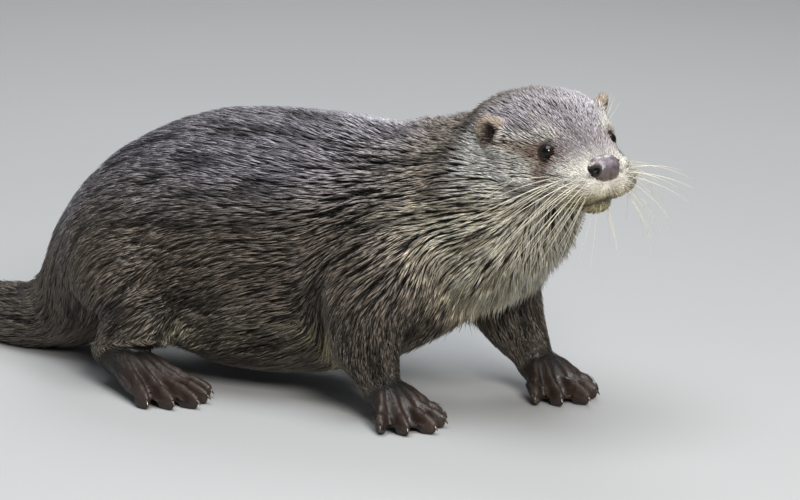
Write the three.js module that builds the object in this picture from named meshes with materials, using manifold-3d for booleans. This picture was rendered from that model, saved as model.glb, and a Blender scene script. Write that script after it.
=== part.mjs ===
// A life-size Eurasian river otter standing low on four feet: back arched, one forefoot ahead of
// the other, tail laid along the floor behind, head turned to its right. Every solid is drawn out
// to the tips of the coat, and neighbouring solids stand a hair's breadth apart.
// Millimetres, +Z up. The otter faces -Y, so its left side is +X. The origin is the middle of the
// footprint, on the floor. Places are given as forward, left and up from a point on the floor
// below the shoulders, and turned into x, y and z by at().
import * as THREE from "three";
import { mergeVertices } from "three/addons/utils/BufferGeometryUtils.js";
import Module from "manifold-3d";

// ---------------------------------------------------------------- driving dimensions
const BACK_HEIGHT = 208; // top of the arched back
const BELLY_CLEARANCE = 10; // lowest point of the belly above the floor
const TRUNK_WIDTH = 180; // across the belly
const TAIL_LENGTH = 415; // from the rump to the tip
const TAIL_SWAY = 92; // how far the tip lies to the otter's left
const HEAD_YAW = 30; // degrees that the head is turned to the otter's right
const HEAD_PITCH = 4; // degrees that the muzzle points down
const HEAD_ROLL = 5; // degrees that the head leans to its right
const HEAD_AT = { forward: 97, left: -18, up: 224 }; // midway between the ears
const EAR_SPACING = 88;
const EYE_SPACING = 47;
const EYE_RADIUS = 6.4;
const NOSE_WIDTH = 25;
const STRIDE = 50; // how far the left forefoot stands ahead of the right
const TOES = 5;
const PRESSED_FLAT = 0.7; // how much of a pad or the tail is flattened where it rests
const GAP = 0.3; // clearance between neighbouring pieces

const wasm = await Module();
wasm.setup();

// ---------------------------------------------------------------- places and materials
const at = (forward, left, up) => new THREE.Vector3(left, -forward, up);
const UP = new THREE.Vector3(0, 0, 1);
const FORWARD = at(1, 0, 0);
const RIGHT = -1;
const LEFT = 1;
const SIDES = [RIGHT, LEFT];
const sideName = { [RIGHT]: "right", [LEFT]: "left" };

const finish = (color, roughness) => new THREE.MeshStandardMaterial({ color, roughness, metalness: 0 });
const COAT = finish(0x5d4f43, 0.75);
const THROAT = finish(0xa89f8a, 0.75);
const PAW = finish(0x6b4a3c, 0.55);
const HORN = finish(0x3a3029, 0.35);
const EYE = finish(0x17110d, 0.08);
const NOSE = finish(0x54444a, 0.3);

// ---------------------------------------------------------------- solids
function solidOf(geometry) {
  const bare = geometry.clone();
  bare.deleteAttribute("normal");
  bare.deleteAttribute("uv");
  const merged = mergeVertices(bare, 1e-3);
  const mesh = new wasm.Mesh({
    numProp: 3,
    vertProperties: new Float32Array(merged.attributes.position.array),
    triVerts: new Uint32Array(merged.index.array),
  });
  return new wasm.Manifold(mesh);
}

function geometryOf(solid) {
  const { vertProperties, triVerts, numProp, numVert } = solid.getMesh();
  const positions = new Float32Array(numVert * 3);
  for (let i = 0; i < numVert; i++) {
    positions.set(vertProperties.subarray(i * numProp, i * numProp + 3), i * 3);
  }
  const geometry = new THREE.BufferGeometry();
  geometry.setAttribute("position", new THREE.BufferAttribute(positions, 3));
  geometry.setIndex(new THREE.BufferAttribute(new Uint32Array(triVerts), 1));
  return geometry;
}

const joined = (solids) => solids.reduce((whole, solid) => whole.add(solid));
const placed = (solid, group) => solidOf(geometryOf(solid).applyMatrix4(group.matrixWorld));

// What is left of a solid after its neighbours are cut away, without any loose sliver.
function carved(solid, cutters) {
  const cut = cutters.reduce((rest, cutter) => rest.subtract(cutter), solid);
  return cut.decompose().reduce((best, body) => (body.volume() > best.volume() ? body : best));
}

function addPiece(group, name, material, solid) {
  const mesh = new THREE.Mesh(geometryOf(solid), material);
  mesh.name = name;
  group.add(mesh);
}

const FLOOR = solidOf(new THREE.BoxGeometry(3000, 3000, 400).translate(0, 0, -200));

// ---------------------------------------------------------------- sweeps
// A station of a sweep: where its middle is, half its width, and its height above and below.
const station = (forward, left, up, width, above, below = above) => ({
  at: at(forward, left, up),
  size: [width, above, below],
});

// Corners round a centre. Fullness 1 gives an ellipse, and less gives squarer shoulders.
function ring(centre, along, [width, above, below], { guide, corners, fullness }) {
  const side = new THREE.Vector3().crossVectors(guide, along).normalize();
  const rise = new THREE.Vector3().crossVectors(along, side).normalize();
  return Array.from({ length: corners }, (_, i) => {
    const angle = (2 * Math.PI * i) / corners;
    const upper = angle <= Math.PI;
    const power = fullness[upper ? 0 : 1];
    const full = (v) => Math.sign(v) * Math.abs(v) ** power;
    return centre.clone()
      .addScaledVector(side, width * full(Math.cos(angle)))
      .addScaledVector(rise, (upper ? above : below) * full(Math.sin(angle)));
  });
}

// Rings of equal corner counts, skinned and closed with a fan at each end.
function skinned(rings) {
  const corners = rings[0].length;
  const points = rings.flat();
  const faces = [];
  for (let r = 0; r + 1 < rings.length; r++) {
    for (let i = 0; i < corners; i++) {
      const a = r * corners + i;
      const b = r * corners + ((i + 1) % corners);
      faces.push(a, b, a + corners, b, b + corners, a + corners);
    }
  }
  const middle = (loop) => loop.reduce((sum, p) => sum.add(p), new THREE.Vector3()).divideScalar(corners);
  points.push(middle(rings[0]), middle(rings.at(-1)));
  const last = (rings.length - 1) * corners;
  for (let i = 0; i < corners; i++) {
    const next = (i + 1) % corners;
    faces.push(points.length - 2, next, i, points.length - 1, last + i, last + next);
  }
  const geometry = new THREE.BufferGeometry().setFromPoints(points);
  geometry.setIndex(faces);
  return geometry;
}

// A body swept smoothly through its stations, from share `from` of the way along to share `to`.
// A part of a longer sweep is drawn in by half the gap at each cut end. grow makes the body
// larger all round, for cutting a neighbour clear of it.
function sweep(stations, options) {
  const { guide = UP, corners = 12, rings = 8, from = 0, to = 1, grow = 0, fullness = [1, 1] } = options;
  const path = new THREE.CatmullRomCurve3(stations.map((s) => s.at), false, "catmullrom", 0.5);
  const sizes = new THREE.CatmullRomCurve3(
    stations.map((s) => new THREE.Vector3(...s.size)), false, "catmullrom", 0.5);
  const shift = (share) => {
    if (share === from) return from > 0 && grow === 0 ? GAP / 2 : -grow;
    if (share === to) return to < 1 && grow === 0 ? -GAP / 2 : grow;
    return 0;
  };
  const loops = Array.from({ length: rings + 1 }, (_, i) => {
    const share = i === rings ? to : from + ((to - from) * i) / rings;
    const along = path.getTangent(share);
    const centre = path.getPoint(share).addScaledVector(along, shift(share));
    const size = sizes.getPoint(share).toArray().map((v) => Math.max(v, 0.3) + grow);
    return ring(centre, along, size, { guide, corners, fullness });
  });
  return solidOf(skinned(loops));
}

function ellipsoid(centre, [across, along, high], grow = 0, detail = [14, 8]) {
  const geometry = new THREE.SphereGeometry(1, ...detail)
    .rotateX(Math.PI / 2)
    .scale(across + grow, along + grow, high + grow)
    .translate(centre.x, centre.y, centre.z);
  return solidOf(geometry);
}

// ---------------------------------------------------------------- trunk, neck and tail
const BELLY_HALF = TRUNK_WIDTH / 2;
const BELLY_RADIUS = (BACK_HEIGHT - BELLY_CLEARANCE) / 2;
const BELLY_MIDDLE = BELLY_CLEARANCE + BELLY_RADIUS;
const TAIL_ROOT = -322;
const tailStation = (share, sway, width, height) =>
  station(TAIL_ROOT - share * TAIL_LENGTH, sway * TAIL_SWAY, height - PRESSED_FLAT, width, height);
const SPINE = [
  tailStation(1, 1, 2.5, 3),
  tailStation(0.93, 0.98, 9, 7.5),
  tailStation(0.75, 0.84, 16, 12.5),
  tailStation(0.5, 0.48, 22, 17),
  tailStation(0.26, 0.16, 28, 20),
  tailStation(0.1, 0.02, 34, 24),
  station(-344, 0, 30, 40, 29),
  station(TAIL_ROOT, 0, 41, 47, 34, 38),
  station(-296, 0, 62, 64, 46, 48),
  station(-268, 0, 84, 80, 63, 62),
  station(-232, 0, 100, 87, 81, 79),
  station(-185, 0, 107, BELLY_HALF, 95, 95),
  station(-125, 0, BELLY_MIDDLE, BELLY_HALF - 1, BELLY_RADIUS, BELLY_RADIUS),
  station(-70, 0, 113, 83, 95, 92),
  station(-25, 0, 121, 76, 86, 78),
  station(12, 0, 136, 70, 78, 62),
  station(44, -2, 155, 64, 73, 68),
  station(70, -8, 180, 57, 57, 55),
  station(88, -15, 203, 47, 42, 44),
  station(102, -21, 216, 40, 30, 42),
];
const SPINE_FULLNESS = [0.95, 0.84];

// The lengths that the spine is cut into: name, end of the length in stations, rings and corners.
const LENGTHS = [
  { name: "tail_tip", end: 3, rings: 5, corners: 12 },
  { name: "tail", end: 6.5, rings: 5, corners: 14 },
  { name: "rump", end: 10.5, rings: 6, corners: 16 },
  { name: "belly", end: 13, rings: 4, corners: 16 },
  { name: "chest", end: 15.6, rings: 4, corners: 16 },
  { name: "neck", end: 19, rings: 4, corners: 16 },
];

function spineLength(index) {
  const { end, rings, corners } = LENGTHS[index];
  const start = index > 0 ? LENGTHS[index - 1].end : 0;
  const share = (stations) => stations / (SPINE.length - 1);
  return sweep(SPINE, { from: share(start), to: share(end), rings, corners, fullness: SPINE_FULLNESS });
}

// ---------------------------------------------------------------- legs
// Legs hang: a ring's width is across the otter, and its heights are to the front and the back.
// A foreleg is one bent limb, cut into an upper and a lower length at the elbow.
const forelegStations = (side, stride) => [
  station(14 + 0.3 * stride, side * 34, 166, 16, 26),
  station(8 + 0.35 * stride, side * 46, 144, 30, 42, 40),
  station(-8 + 0.45 * stride, side * 60, 112, 34, 42, 40),
  station(-18 + 0.6 * stride, side * 67, 84, 31, 34, 34),
  station(-17 + 0.75 * stride, side * 68, 60, 27, 27, 28),
  station(-13 + 0.9 * stride, side * 67, 43, 22, 21, 21),
  station(-5 + stride, side * 66, 27, 14, 14, 13),
];
const ELBOW = 3.2 / 6;

const upperForeleg = (stations, grow = 0) =>
  sweep(stations, { guide: FORWARD, corners: 10, rings: 5, to: ELBOW, grow });
const lowerForeleg = (stations, grow = 0) =>
  sweep(stations, { guide: FORWARD, corners: 10, rings: 4, from: ELBOW, grow });

// A hind leg folds: the thigh runs forward to the knee, and the shank back down to the heel.
const hindlegJoints = (side, stride) => ({
  hip: at(-256 + 0.3 * stride, side * 42, 118),
  knee: at(-196 + 0.7 * stride, side * 73, 74),
  heel: at(-234 + stride, side * 80, 30),
});

function limb(start, end, sizes, grow) {
  const reach = sizes.length - 1;
  const stations = sizes.map((size, i) => ({ at: start.clone().lerp(end, i / reach), size }));
  return sweep(stations, { guide: FORWARD, corners: 12, rings: reach + 1, grow });
}

const thigh = ({ hip, knee }, grow = 0) =>
  limb(hip, knee, [[16, 30, 30], [36, 54, 52], [42, 61, 58], [41, 54, 50], [31, 38, 36]], grow);
const shank = ({ knee, heel }, grow = 0) =>
  limb(knee, heel, [[24, 30, 30], [28, 32, 30], [25, 27, 26], [20, 21, 21], [14, 15, 14]], grow);

// ---------------------------------------------------------------- feet
// In a foot's own frame the toes point along -Y, and the origin is on the floor under the ankle.
const FOREFOOT = {
  ankle: 29, reach: 26, width: 24, spread: 84, thick: 5.6, toeLengths: [17, 23, 26, 24, 19],
};
const HINDFOOT = {
  ankle: 33, reach: 62, width: 25, spread: 38, thick: 5.8, toeLengths: [24, 32, 36, 34, 28],
};
const TOE_INDICES = Array.from({ length: TOES }, (_, i) => i);

// Points along a toe, from its root at share 0 to its tip at share 1.
function toeLine(foot, index) {
  const fan = (2 * index) / (TOES - 1) - 1;
  const angle = THREE.MathUtils.degToRad((fan * foot.spread) / 2);
  const heading = at(Math.cos(angle), Math.sin(angle), 0);
  const root = at(foot.reach - 10 * Math.abs(fan), fan * (foot.width - foot.thick), 0);
  return (share, up) => root.clone().addScaledVector(heading, foot.toeLengths[index] * share).setZ(up);
}

function toe(foot, index, grow = 0) {
  const point = toeLine(foot, index);
  const t = foot.thick;
  return sweep([
    { at: point(-0.35, 12), size: [t, t, t] },
    { at: point(0.1, 12), size: [t * 1.05, t, t] },
    { at: point(0.5, 9.5), size: [t * 0.9, t * 0.95, t] },
    { at: point(0.8, 6.5), size: [t * 1.05, t * 0.95, t * 1.55] },
    { at: point(1, 5), size: [t * 0.55, t * 0.55, t * 0.7] },
  ], { corners: 6, rings: 4, grow });
}

// A claw, curved down from the end of its toe.
function claw(foot, index) {
  const point = toeLine(foot, index);
  return sweep([
    { at: point(0.84, 8.4), size: [1.9, 1.6, 1.6] },
    { at: point(1.03, 8), size: [1.6, 1.5, 1.5] },
    { at: point(1.13, 5.8), size: [0.9, 1, 1] },
    { at: point(1.18, 3.8), size: [0.3, 0.3, 0.3] },
  ], { corners: 5, rings: 2 });
}

// The skin that joins the toes for half their length.
function web(foot) {
  const middleToe = foot.toeLengths[2];
  const fan = (share) => foot.width + middleToe * share * Math.sin(THREE.MathUtils.degToRad(foot.spread / 2));
  const plate = (share, width, up) => station(foot.reach + middleToe * share, 0, up, width, 2.4);
  return sweep(
    [plate(-0.4, fan(-0.3), 9), plate(0, fan(-0.1), 9), plate(0.35, fan(0.05), 7), plate(0.58, fan(-0.2), 6)],
    { corners: 6, rings: 2 });
}

function sole({ ankle, reach, width }, grow = 0) {
  return sweep([
    station(-9, 0, ankle - 3, 13, 9, 11),
    station(0, 0, ankle - 5, 15, 13, 14),
    station(reach * 0.4, 0, ankle * 0.5 + 5, width * 0.78, 12, 13),
    station(reach * 0.78, 0, 14, width, 9, 15.6),
    station(reach, 0, 11, width * 0.98, 7, 12.4),
    station(reach + 7, 0, 9, width * 0.8, 4, 8),
  ], { corners: 10, rings: 5, grow });
}

function makeFoot(name, foot, ankle, turn) {
  const group = new THREE.Group();
  group.position.set(ankle.x, ankle.y, 0);
  group.rotation.z = THREE.MathUtils.degToRad(turn);
  group.updateMatrixWorld(true);
  const flesh = joined([sole(foot), web(foot), ...TOE_INDICES.map((i) => toe(foot, i))]);
  addPiece(group, name, PAW, carved(flesh, [FLOOR]));
  for (const i of TOE_INDICES) {
    addPiece(group, `${name}_claw_${i + 1}`, HORN, carved(claw(foot, i), [toe(foot, i, GAP), FLOOR]));
  }
  return group;
}

// ---------------------------------------------------------------- head
// In the head's own frame the muzzle points along -Y and the origin is midway between the ears.
// The cranium runs from the nape over the brow and down the bridge of the nose.
const CRANIUM = [
  station(-54, 0, -16, 18, 12, 16),
  station(-42, 0, -14, 38, 24, 30),
  station(-20, 0, -12, 49, 29, 36),
  station(4, 0, -12, 49, 31, 36),
  station(27, 0, -13, 42, 29, 34),
  station(45, 0, -15, 33, 25, 30),
  station(60, 0, -18, 26, 21, 26),
  station(74, 0, -20, 21, 16, 20),
  station(86, 0, -21, 16, 12, 14),
  station(92, 0, -21, 8, 6, 7),
];
// The cheeks run forward into the upper lip and the whisker pads.
const CHEEKS = [
  station(-34, 0, -24, 34, 18, 20),
  station(-16, 0, -26, 47, 26, 26),
  station(12, 0, -28, 49, 27, 26),
  station(36, 0, -29, 43, 24, 21),
  station(56, 0, -29, 37, 21, 16),
  station(72, 0, -28, 34, 18, 14),
  station(84, 0, -27, 28, 13, 13),
  station(92, 0, -26, 14, 8, 9),
];
const CHIN = [
  station(10, 0, -40, 26, 12, 14),
  station(40, 0, -43, 23, 10, 10),
  station(62, 0, -44, 17, 8, 8),
  station(76, 0, -45, 11, 6, 6),
  station(81, 0, -45, 5, 3, 3),
];

function skull(grow = 0) {
  return joined([
    sweep(CRANIUM, { corners: 14, rings: 8, fullness: [0.92, 1], grow }),
    sweep(CHEEKS, { corners: 12, rings: 6, fullness: [1, 0.9], grow }),
    sweep(CHIN, { corners: 10, rings: 4, grow }),
  ]);
}

const eyeCentre = (side) => at(51, (side * EYE_SPACING) / 2, -8);
const eyeball = (side, grow) =>
  ellipsoid(eyeCentre(side), [EYE_RADIUS, EYE_RADIUS, EYE_RADIUS], grow, [10, 6]);
const eyelid = (side) => ellipsoid(eyeCentre(side).add(at(-2, -3 * side, 0)), [7.4, 11, 8.6], 0, [8, 6]);

function noseLeather(grow = 0) {
  const half = NOSE_WIDTH / 2;
  return sweep([
    station(79, 0, -13, half * 0.7, 5, 6),
    station(85, 0, -14, half * 0.95, 7, 8),
    station(90, 0, -15, half, 8, 9),
    station(94, 0, -16, half * 0.8, 6.5, 7.5),
    station(96.5, 0, -16.5, half * 0.35, 3, 4),
  ], { corners: 12, rings: 5, grow, fullness: [0.85, 1] });
}

// A low round cup, open forward and outward.
function ear(side, grow = 0) {
  const shell = ellipsoid(at(0, 0, 0), [11.5, 6, 12], grow, [10, 7]);
  const bowl = ellipsoid(at(5.5, side, 1.5), [7.5, 5.5, 8], 0, [8, 6]);
  const cup = grow > 0 ? shell : shell.subtract(bowl);
  const root = at(6, (side * EAR_SPACING) / 2, 0);
  const geometry = geometryOf(cup)
    .rotateZ(THREE.MathUtils.degToRad(side * 46))
    .rotateY(THREE.MathUtils.degToRad(side * 20))
    .translate(root.x, root.y, root.z);
  return solidOf(geometry);
}

function makeHead() {
  const group = new THREE.Group();
  const [pitch, lean, yaw] = [HEAD_PITCH, -HEAD_ROLL, -HEAD_YAW].map(THREE.MathUtils.degToRad);
  group.position.copy(at(HEAD_AT.forward, HEAD_AT.left, HEAD_AT.up));
  group.rotation.set(pitch, lean, yaw, "ZXY");
  group.updateMatrixWorld(true);
  const flesh = joined([skull(), ...SIDES.map(eyelid)]);
  const fitted = SIDES.flatMap((side) => [eyeball(side, GAP), ear(side, GAP)]);
  addPiece(group, "head", COAT, carved(flesh, [noseLeather(GAP), ...fitted]));
  addPiece(group, "nose", NOSE, noseLeather());
  for (const side of SIDES) {
    addPiece(group, `eye_${sideName[side]}`, EYE, eyeball(side, 0));
    addPiece(group, `ear_${sideName[side]}`, COAT, ear(side));
  }
  return group;
}

// ---------------------------------------------------------------- the otter
// Adds one side's foreleg and returns what the trunk is to be cut clear of.
function addForeleg(otter, side) {
  const name = sideName[side];
  const stations = forelegStations(side, side === LEFT ? STRIDE : 0);
  const foot = makeFoot(`forefoot_${name}`, FOREFOOT, stations.at(-1).at, -14);
  const ankle = placed(sole(FOREFOOT, GAP), foot);
  otter.add(foot);
  addPiece(otter, `foreleg_${name}_upper`, COAT, upperForeleg(stations));
  addPiece(otter, `foreleg_${name}_lower`, COAT, carved(lowerForeleg(stations), [ankle]));
  return [upperForeleg(stations, GAP), lowerForeleg(stations, GAP)];
}

function addHindleg(otter, side) {
  const name = sideName[side];
  const joints = hindlegJoints(side, side === LEFT ? -12 : 0);
  const foot = makeFoot(`hindfoot_${name}`, HINDFOOT, joints.heel, side === LEFT ? 12 : -16);
  const ankle = placed(sole(HINDFOOT, GAP), foot);
  const lower = shank(joints, GAP);
  otter.add(foot);
  addPiece(otter, `hindleg_${name}_shank`, COAT, carved(shank(joints), [ankle, FLOOR]));
  addPiece(otter, `hindleg_${name}_thigh`, COAT, carved(thigh(joints), [lower, ankle, FLOOR]));
  return [ankle, lower, thigh(joints, GAP)];
}

function makeOtter() {
  const otter = new THREE.Group();
  otter.name = "otter";
  const head = makeHead();
  otter.add(head);
  const cutters = SIDES.flatMap((side) => [...addForeleg(otter, side), ...addHindleg(otter, side)]);
  cutters.push(FLOOR, placed(skull(GAP), head), ...SIDES.map((side) => placed(ear(side, GAP), head)));
  LENGTHS.forEach(({ name }, index) => {
    addPiece(otter, name, name === "neck" ? THROAT : COAT, carved(spineLength(index), cutters));
  });
  const box = new THREE.Box3().setFromObject(otter, true);
  const middle = box.getCenter(new THREE.Vector3());
  otter.position.set(-middle.x, -middle.y, -box.min.z);
  return otter;
}

export default makeOtter();
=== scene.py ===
"""Skin, coat, eyes, nose, claws and whiskers of a life-size river otter over its solid frame."""

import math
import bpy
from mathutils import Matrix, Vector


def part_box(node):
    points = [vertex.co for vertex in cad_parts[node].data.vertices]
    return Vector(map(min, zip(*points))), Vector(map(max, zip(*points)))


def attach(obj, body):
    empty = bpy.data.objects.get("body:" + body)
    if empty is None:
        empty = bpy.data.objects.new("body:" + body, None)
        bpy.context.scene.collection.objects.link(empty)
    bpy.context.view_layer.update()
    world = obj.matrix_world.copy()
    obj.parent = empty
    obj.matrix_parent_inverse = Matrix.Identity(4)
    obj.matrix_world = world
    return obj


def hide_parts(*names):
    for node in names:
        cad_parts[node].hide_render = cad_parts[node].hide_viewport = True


bl_info = {
    "name": "River Otter",
    "version": (1, 0, 0),
    "blender": (4, 5, 0),
    "location": "View3D > Sidebar > Otter",
    "description": "Builds the skin, coat, eyes, nose, claws and whiskers of a life-size river otter",
    "category": "Add Mesh",
}

import bmesh
import bpy
import numpy as np
from bpy.props import FloatProperty, FloatVectorProperty, IntProperty, PointerProperty
from mathutils import Euler, Vector
from mathutils.bvhtree import BVHTree
from mathutils.kdtree import KDTree

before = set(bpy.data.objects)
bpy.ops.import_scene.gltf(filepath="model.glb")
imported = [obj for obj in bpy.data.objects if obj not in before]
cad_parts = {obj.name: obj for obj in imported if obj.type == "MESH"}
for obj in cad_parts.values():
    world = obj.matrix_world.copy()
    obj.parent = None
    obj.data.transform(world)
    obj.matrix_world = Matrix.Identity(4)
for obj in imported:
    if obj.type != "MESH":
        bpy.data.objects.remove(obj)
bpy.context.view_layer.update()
MM = 0.001
SIDES = {"right": -1, "left": 1}
CELL_PRIMES = (73856093, 19349663, 83492791)


# ---------------------------------------------------------------- places on the body
# Places are in millimetres forward of the shoulders, to the otter's left, and up from the floor.
# The frame's origin lies under the middle of the whole animal, this far behind the shoulders.
ORIGIN_BACK, ORIGIN_SIDE = 277.17, 1.225
HEAD_PLACE = (97.0, -18.0, 224.0)
HEAD_TURN = Euler((math.radians(4), 0, 0)).to_matrix() @ Euler((0, math.radians(-5), 0)).to_matrix()
HEAD_TURN = Euler((0, 0, math.radians(-30))).to_matrix() @ HEAD_TURN
STRIDE, HIND_STRIDE = 50.0, -12.0

# The line through the body from the back of the muzzle to the end of the tail.
SPINE = [
    (140, -43, 205), (102, -21, 210), (88, -15, 200), (70, -8, 180), (44, -2, 155), (12, 0, 136),
    (-25, 0, 121), (-70, 0, 113), (-125, 0, 109), (-185, 0, 107), (-232, 0, 100), (-268, 0, 84),
    (-296, 0, 62), (-322, 0, 41), (-363, 2, 33), (-430, 15, 27), (-530, 44, 21), (-633, 77, 15),
    (-708, 90, 9), (-737, 92, 2),
]


def place(forward, left, up):
    """A place on the otter as a point of the frame, in metres."""
    return np.array([left + ORIGIN_SIDE, -forward - ORIGIN_BACK, up]) * MM


HEAD_AT = place(*HEAD_PLACE)
HEAD_AXES = np.array(HEAD_TURN)


def on_head(forward, side, up):
    """A place along the head's own axes from the middle between the ears, in metres of the frame."""
    return HEAD_AT + HEAD_AXES @ (np.array([side, -forward, up]) * MM)


def head_direction(forward, side, up):
    """A direction along the head's own axes, of length one, in the frame."""
    direction = HEAD_AXES @ np.array([side, -forward, up], float)
    return direction / np.linalg.norm(direction)


def in_head(points):
    """Forward, side and up from the middle between the ears, in millimetres, for points of the frame."""
    local = (points - HEAD_AT) @ HEAD_AXES / MM
    return -local[:, 1], local[:, 0], local[:, 2]


def foreleg_line(side):
    """The middle of a foreleg from the shoulder to the toes, with its radius at each place."""
    s = STRIDE if side > 0 else 0.0
    stations = [
        (14 + 0.3 * s, 34, 166, 40), (8 + 0.35 * s, 46, 144, 42), (-8 + 0.45 * s, 60, 112, 40),
        (-18 + 0.6 * s, 67, 84, 34), (-17 + 0.75 * s, 68, 60, 28), (-13 + 0.9 * s, 67, 43, 22),
        (-5 + s, 66, 27, 17), (14 + s, 66 - side * 5, 14, 20), (50 + s, 66 - side * 14, 6, 26),
    ]
    return [(f, side * out, up) for f, out, up, _ in stations], [r for *_, r in stations]


def hindleg_line(side):
    """The middle of a hind leg from the knee to the toes, with its radius at each place."""
    s, turn = (HIND_STRIDE, 0.21) if side > 0 else (0.0, -0.28)
    heel = (-234 + s, side * 80, 30)
    foot = [(heel[0] + reach, heel[1] + reach * turn, up) for reach, up in ((30, 17), (62, 10), (100, 5))]
    return [(-196 + 0.7 * s, side * 73, 74), heel, *foot], [32, 18, 20, 26, 32]


def smooth_line(points, steps=12):
    """Points along a smooth curve through the given ones, and the share of the whole list at each."""
    p = np.array(points, float)
    p = np.vstack([2 * p[0] - p[1], p, 2 * p[-1] - p[-2]])
    spans = len(p) - 3
    at = np.linspace(0, spans, spans * steps + 1)
    i = np.minimum(at.astype(int), spans - 1)
    t = (at - i)[:, None]
    a, b, c, d = p[i], p[i + 1], p[i + 2], p[i + 3]
    curve = 0.5 * (2 * b + (c - a) * t + (2 * a - 5 * b + 4 * c - d) * t**2 + (3 * b - a - 3 * c + d) * t**3)
    return curve, at


def nearest_on(points, line, batch=20000):
    """For each point the number of the nearest of the line's points, found a batch at a time."""
    found = np.empty(len(points), int)
    size = (line**2).sum(1)
    for start in range(0, len(points), batch):
        part = points[start : start + batch]
        found[start : start + batch] = (size - 2 * part @ line.T).argmin(1)
    return found


def smoothstep(low, high, value):
    """Rises smoothly from nothing at low to one at high, or falls where low is the larger."""
    t = np.clip((value - low) / (high - low), 0.0, 1.0)
    return t * t * (3.0 - 2.0 * t)


def bump(value, middle, width):
    """One at the middle, falling to nothing a few widths away."""
    return np.exp(-(((value - middle) / width) ** 2))


def unit(vectors):
    return vectors / np.maximum(np.linalg.norm(vectors, axis=-1, keepdims=True), 1e-12)


def flat_on(vectors, normals):
    """The vectors' directions along the surface."""
    return unit(vectors - normals * (vectors * normals).sum(1, keepdims=True))


def mix(a, b, share):
    """From a to b by a share from 0 to 1, for single values or rows of three."""
    share = np.asarray(share)
    if share.ndim and np.ndim(a) > 1:
        share = share[:, None]
    return a * (1 - share) + b * share


def cell_keys(cells):
    """One whole number for each cell of a grid, from its three numbers."""
    return cells[:, 0] * CELL_PRIMES[0] ^ cells[:, 1] * CELL_PRIMES[1] ^ cells[:, 2] * CELL_PRIMES[2]


def noise_at(points, size, seed=0):
    """Smooth seeded noise from -1 to 1 at the points, with cells of the given size."""
    p = points / size
    cell = np.floor(p).astype(np.int64)
    f = p - cell
    f = f * f * (3 - 2 * f)
    total = np.zeros(len(points))
    for corner in range(8):
        step = np.array([(corner >> k) & 1 for k in range(3)])
        c = cell + step
        h = cell_keys(c) ^ (seed * 265443)
        h = (h ^ (h >> 13)) * 1274126177 & 0x7FFFFFFF
        h = (h ^ (h >> 16)) & 0xFFFF
        total += np.where(step, f, 1 - f).prod(1) * (h / 32767.5 - 1)
    return total


class Places:
    """Where points of the surface are on the otter, in millimetres.

    forward, side, out and up are measured on the head. station is the place forward of the shoulders of the
    nearest point of the spine, and rise the height over it. low is the height over the floor, and front the
    distance forward of the shoulders. head, fore and hind say how surely a point is on the head or a leg.
    """

    def __init__(self, points):
        self.points = points
        self.forward, self.side, self.up = in_head(points)
        self.out = np.abs(self.side)
        middle = on_head(30, 0, -20)
        near = smoothstep(0.150, 0.108, np.linalg.norm(points - middle, axis=1))
        self.head = smoothstep(-62, -12, self.forward) * near
        line, _ = smooth_line(SPINE)
        frame_line = np.array([place(*p) for p in line])
        index = nearest_on(points, frame_line)
        self.station = line[index, 0]
        tangents = unit(np.gradient(frame_line, axis=0))
        self.spine_lie = tangents[index]
        self.rise = points[:, 2] / MM - line[index, 2]
        self.low = points[:, 2] / MM
        self.front = -points[:, 1] / MM - ORIGIN_BACK
        self.fore, self.fore_share, self.fore_lie = self.on_leg(foreleg_line)
        self.hind, self.hind_share, self.hind_lie = self.on_leg(hindleg_line)

    def on_leg(self, leg_line):
        """How surely each point is on that leg, its share of the way down, and the leg's direction."""
        sure = np.zeros(len(self.points))
        share = np.zeros(len(self.points))
        lie = np.zeros_like(self.points)
        for side in SIDES.values():
            stations, radii = leg_line(side)
            line, at = smooth_line(stations)
            frame_line = np.array([place(*p) for p in line])
            index = nearest_on(self.points, frame_line)
            radius = np.interp(at, np.arange(len(radii)), radii)[index] * MM
            ratio = np.linalg.norm(self.points - frame_line[index], axis=1) / radius
            here = smoothstep(1.75, 1.2, ratio)
            better = here > sure
            sure = np.where(better, here, sure)
            share = np.where(better, at[index] / at[-1], share)
            lie = np.where(better[:, None], unit(np.gradient(frame_line, axis=0))[index], lie)
        return sure, share, lie


def lie_of_coat(where, normals):
    """The hair's direction along the surface: back from the nose, over the trunk and down the legs."""
    muzzle = on_head(106, 0, -24)
    from_muzzle = unit(where.points - muzzle)
    down = np.array([0.0, 0.0, -1.0])
    neck = smoothstep(-40, 60, where.station)
    facing_front = np.clip(-normals[:, 1], 0, 1)
    droop = 0.16 + 0.34 * neck + 0.9 * neck * facing_front
    haunch = smoothstep(-90, -190, where.station) * smoothstep(75, 0, where.rise)
    droop = droop * smoothstep(70, -10, where.rise) + 0.25 * bump(where.station, -275, 35) + 0.34 * haunch
    tail = smoothstep(-300, -350, where.station)
    lie = where.spine_lie * (1 - 0.35 * neck)[:, None] + from_muzzle * (0.75 * neck)[:, None]
    lie = lie + down * (droop * (1 - tail))[:, None]
    lie = mix(lie, from_muzzle, where.head)
    back = np.array([0.0, 1.0, 0.0])
    fore_down = where.fore_lie + back * (0.5 * (1 - where.fore_share))[:, None]
    lie = mix(lie, fore_down, where.fore * smoothstep(0.12, 0.42, where.fore_share) * (1 - where.head))
    lie = mix(lie, where.hind_lie, where.hind * smoothstep(0.0, 0.22, where.hind_share))
    return flat_on(lie, normals)


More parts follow.
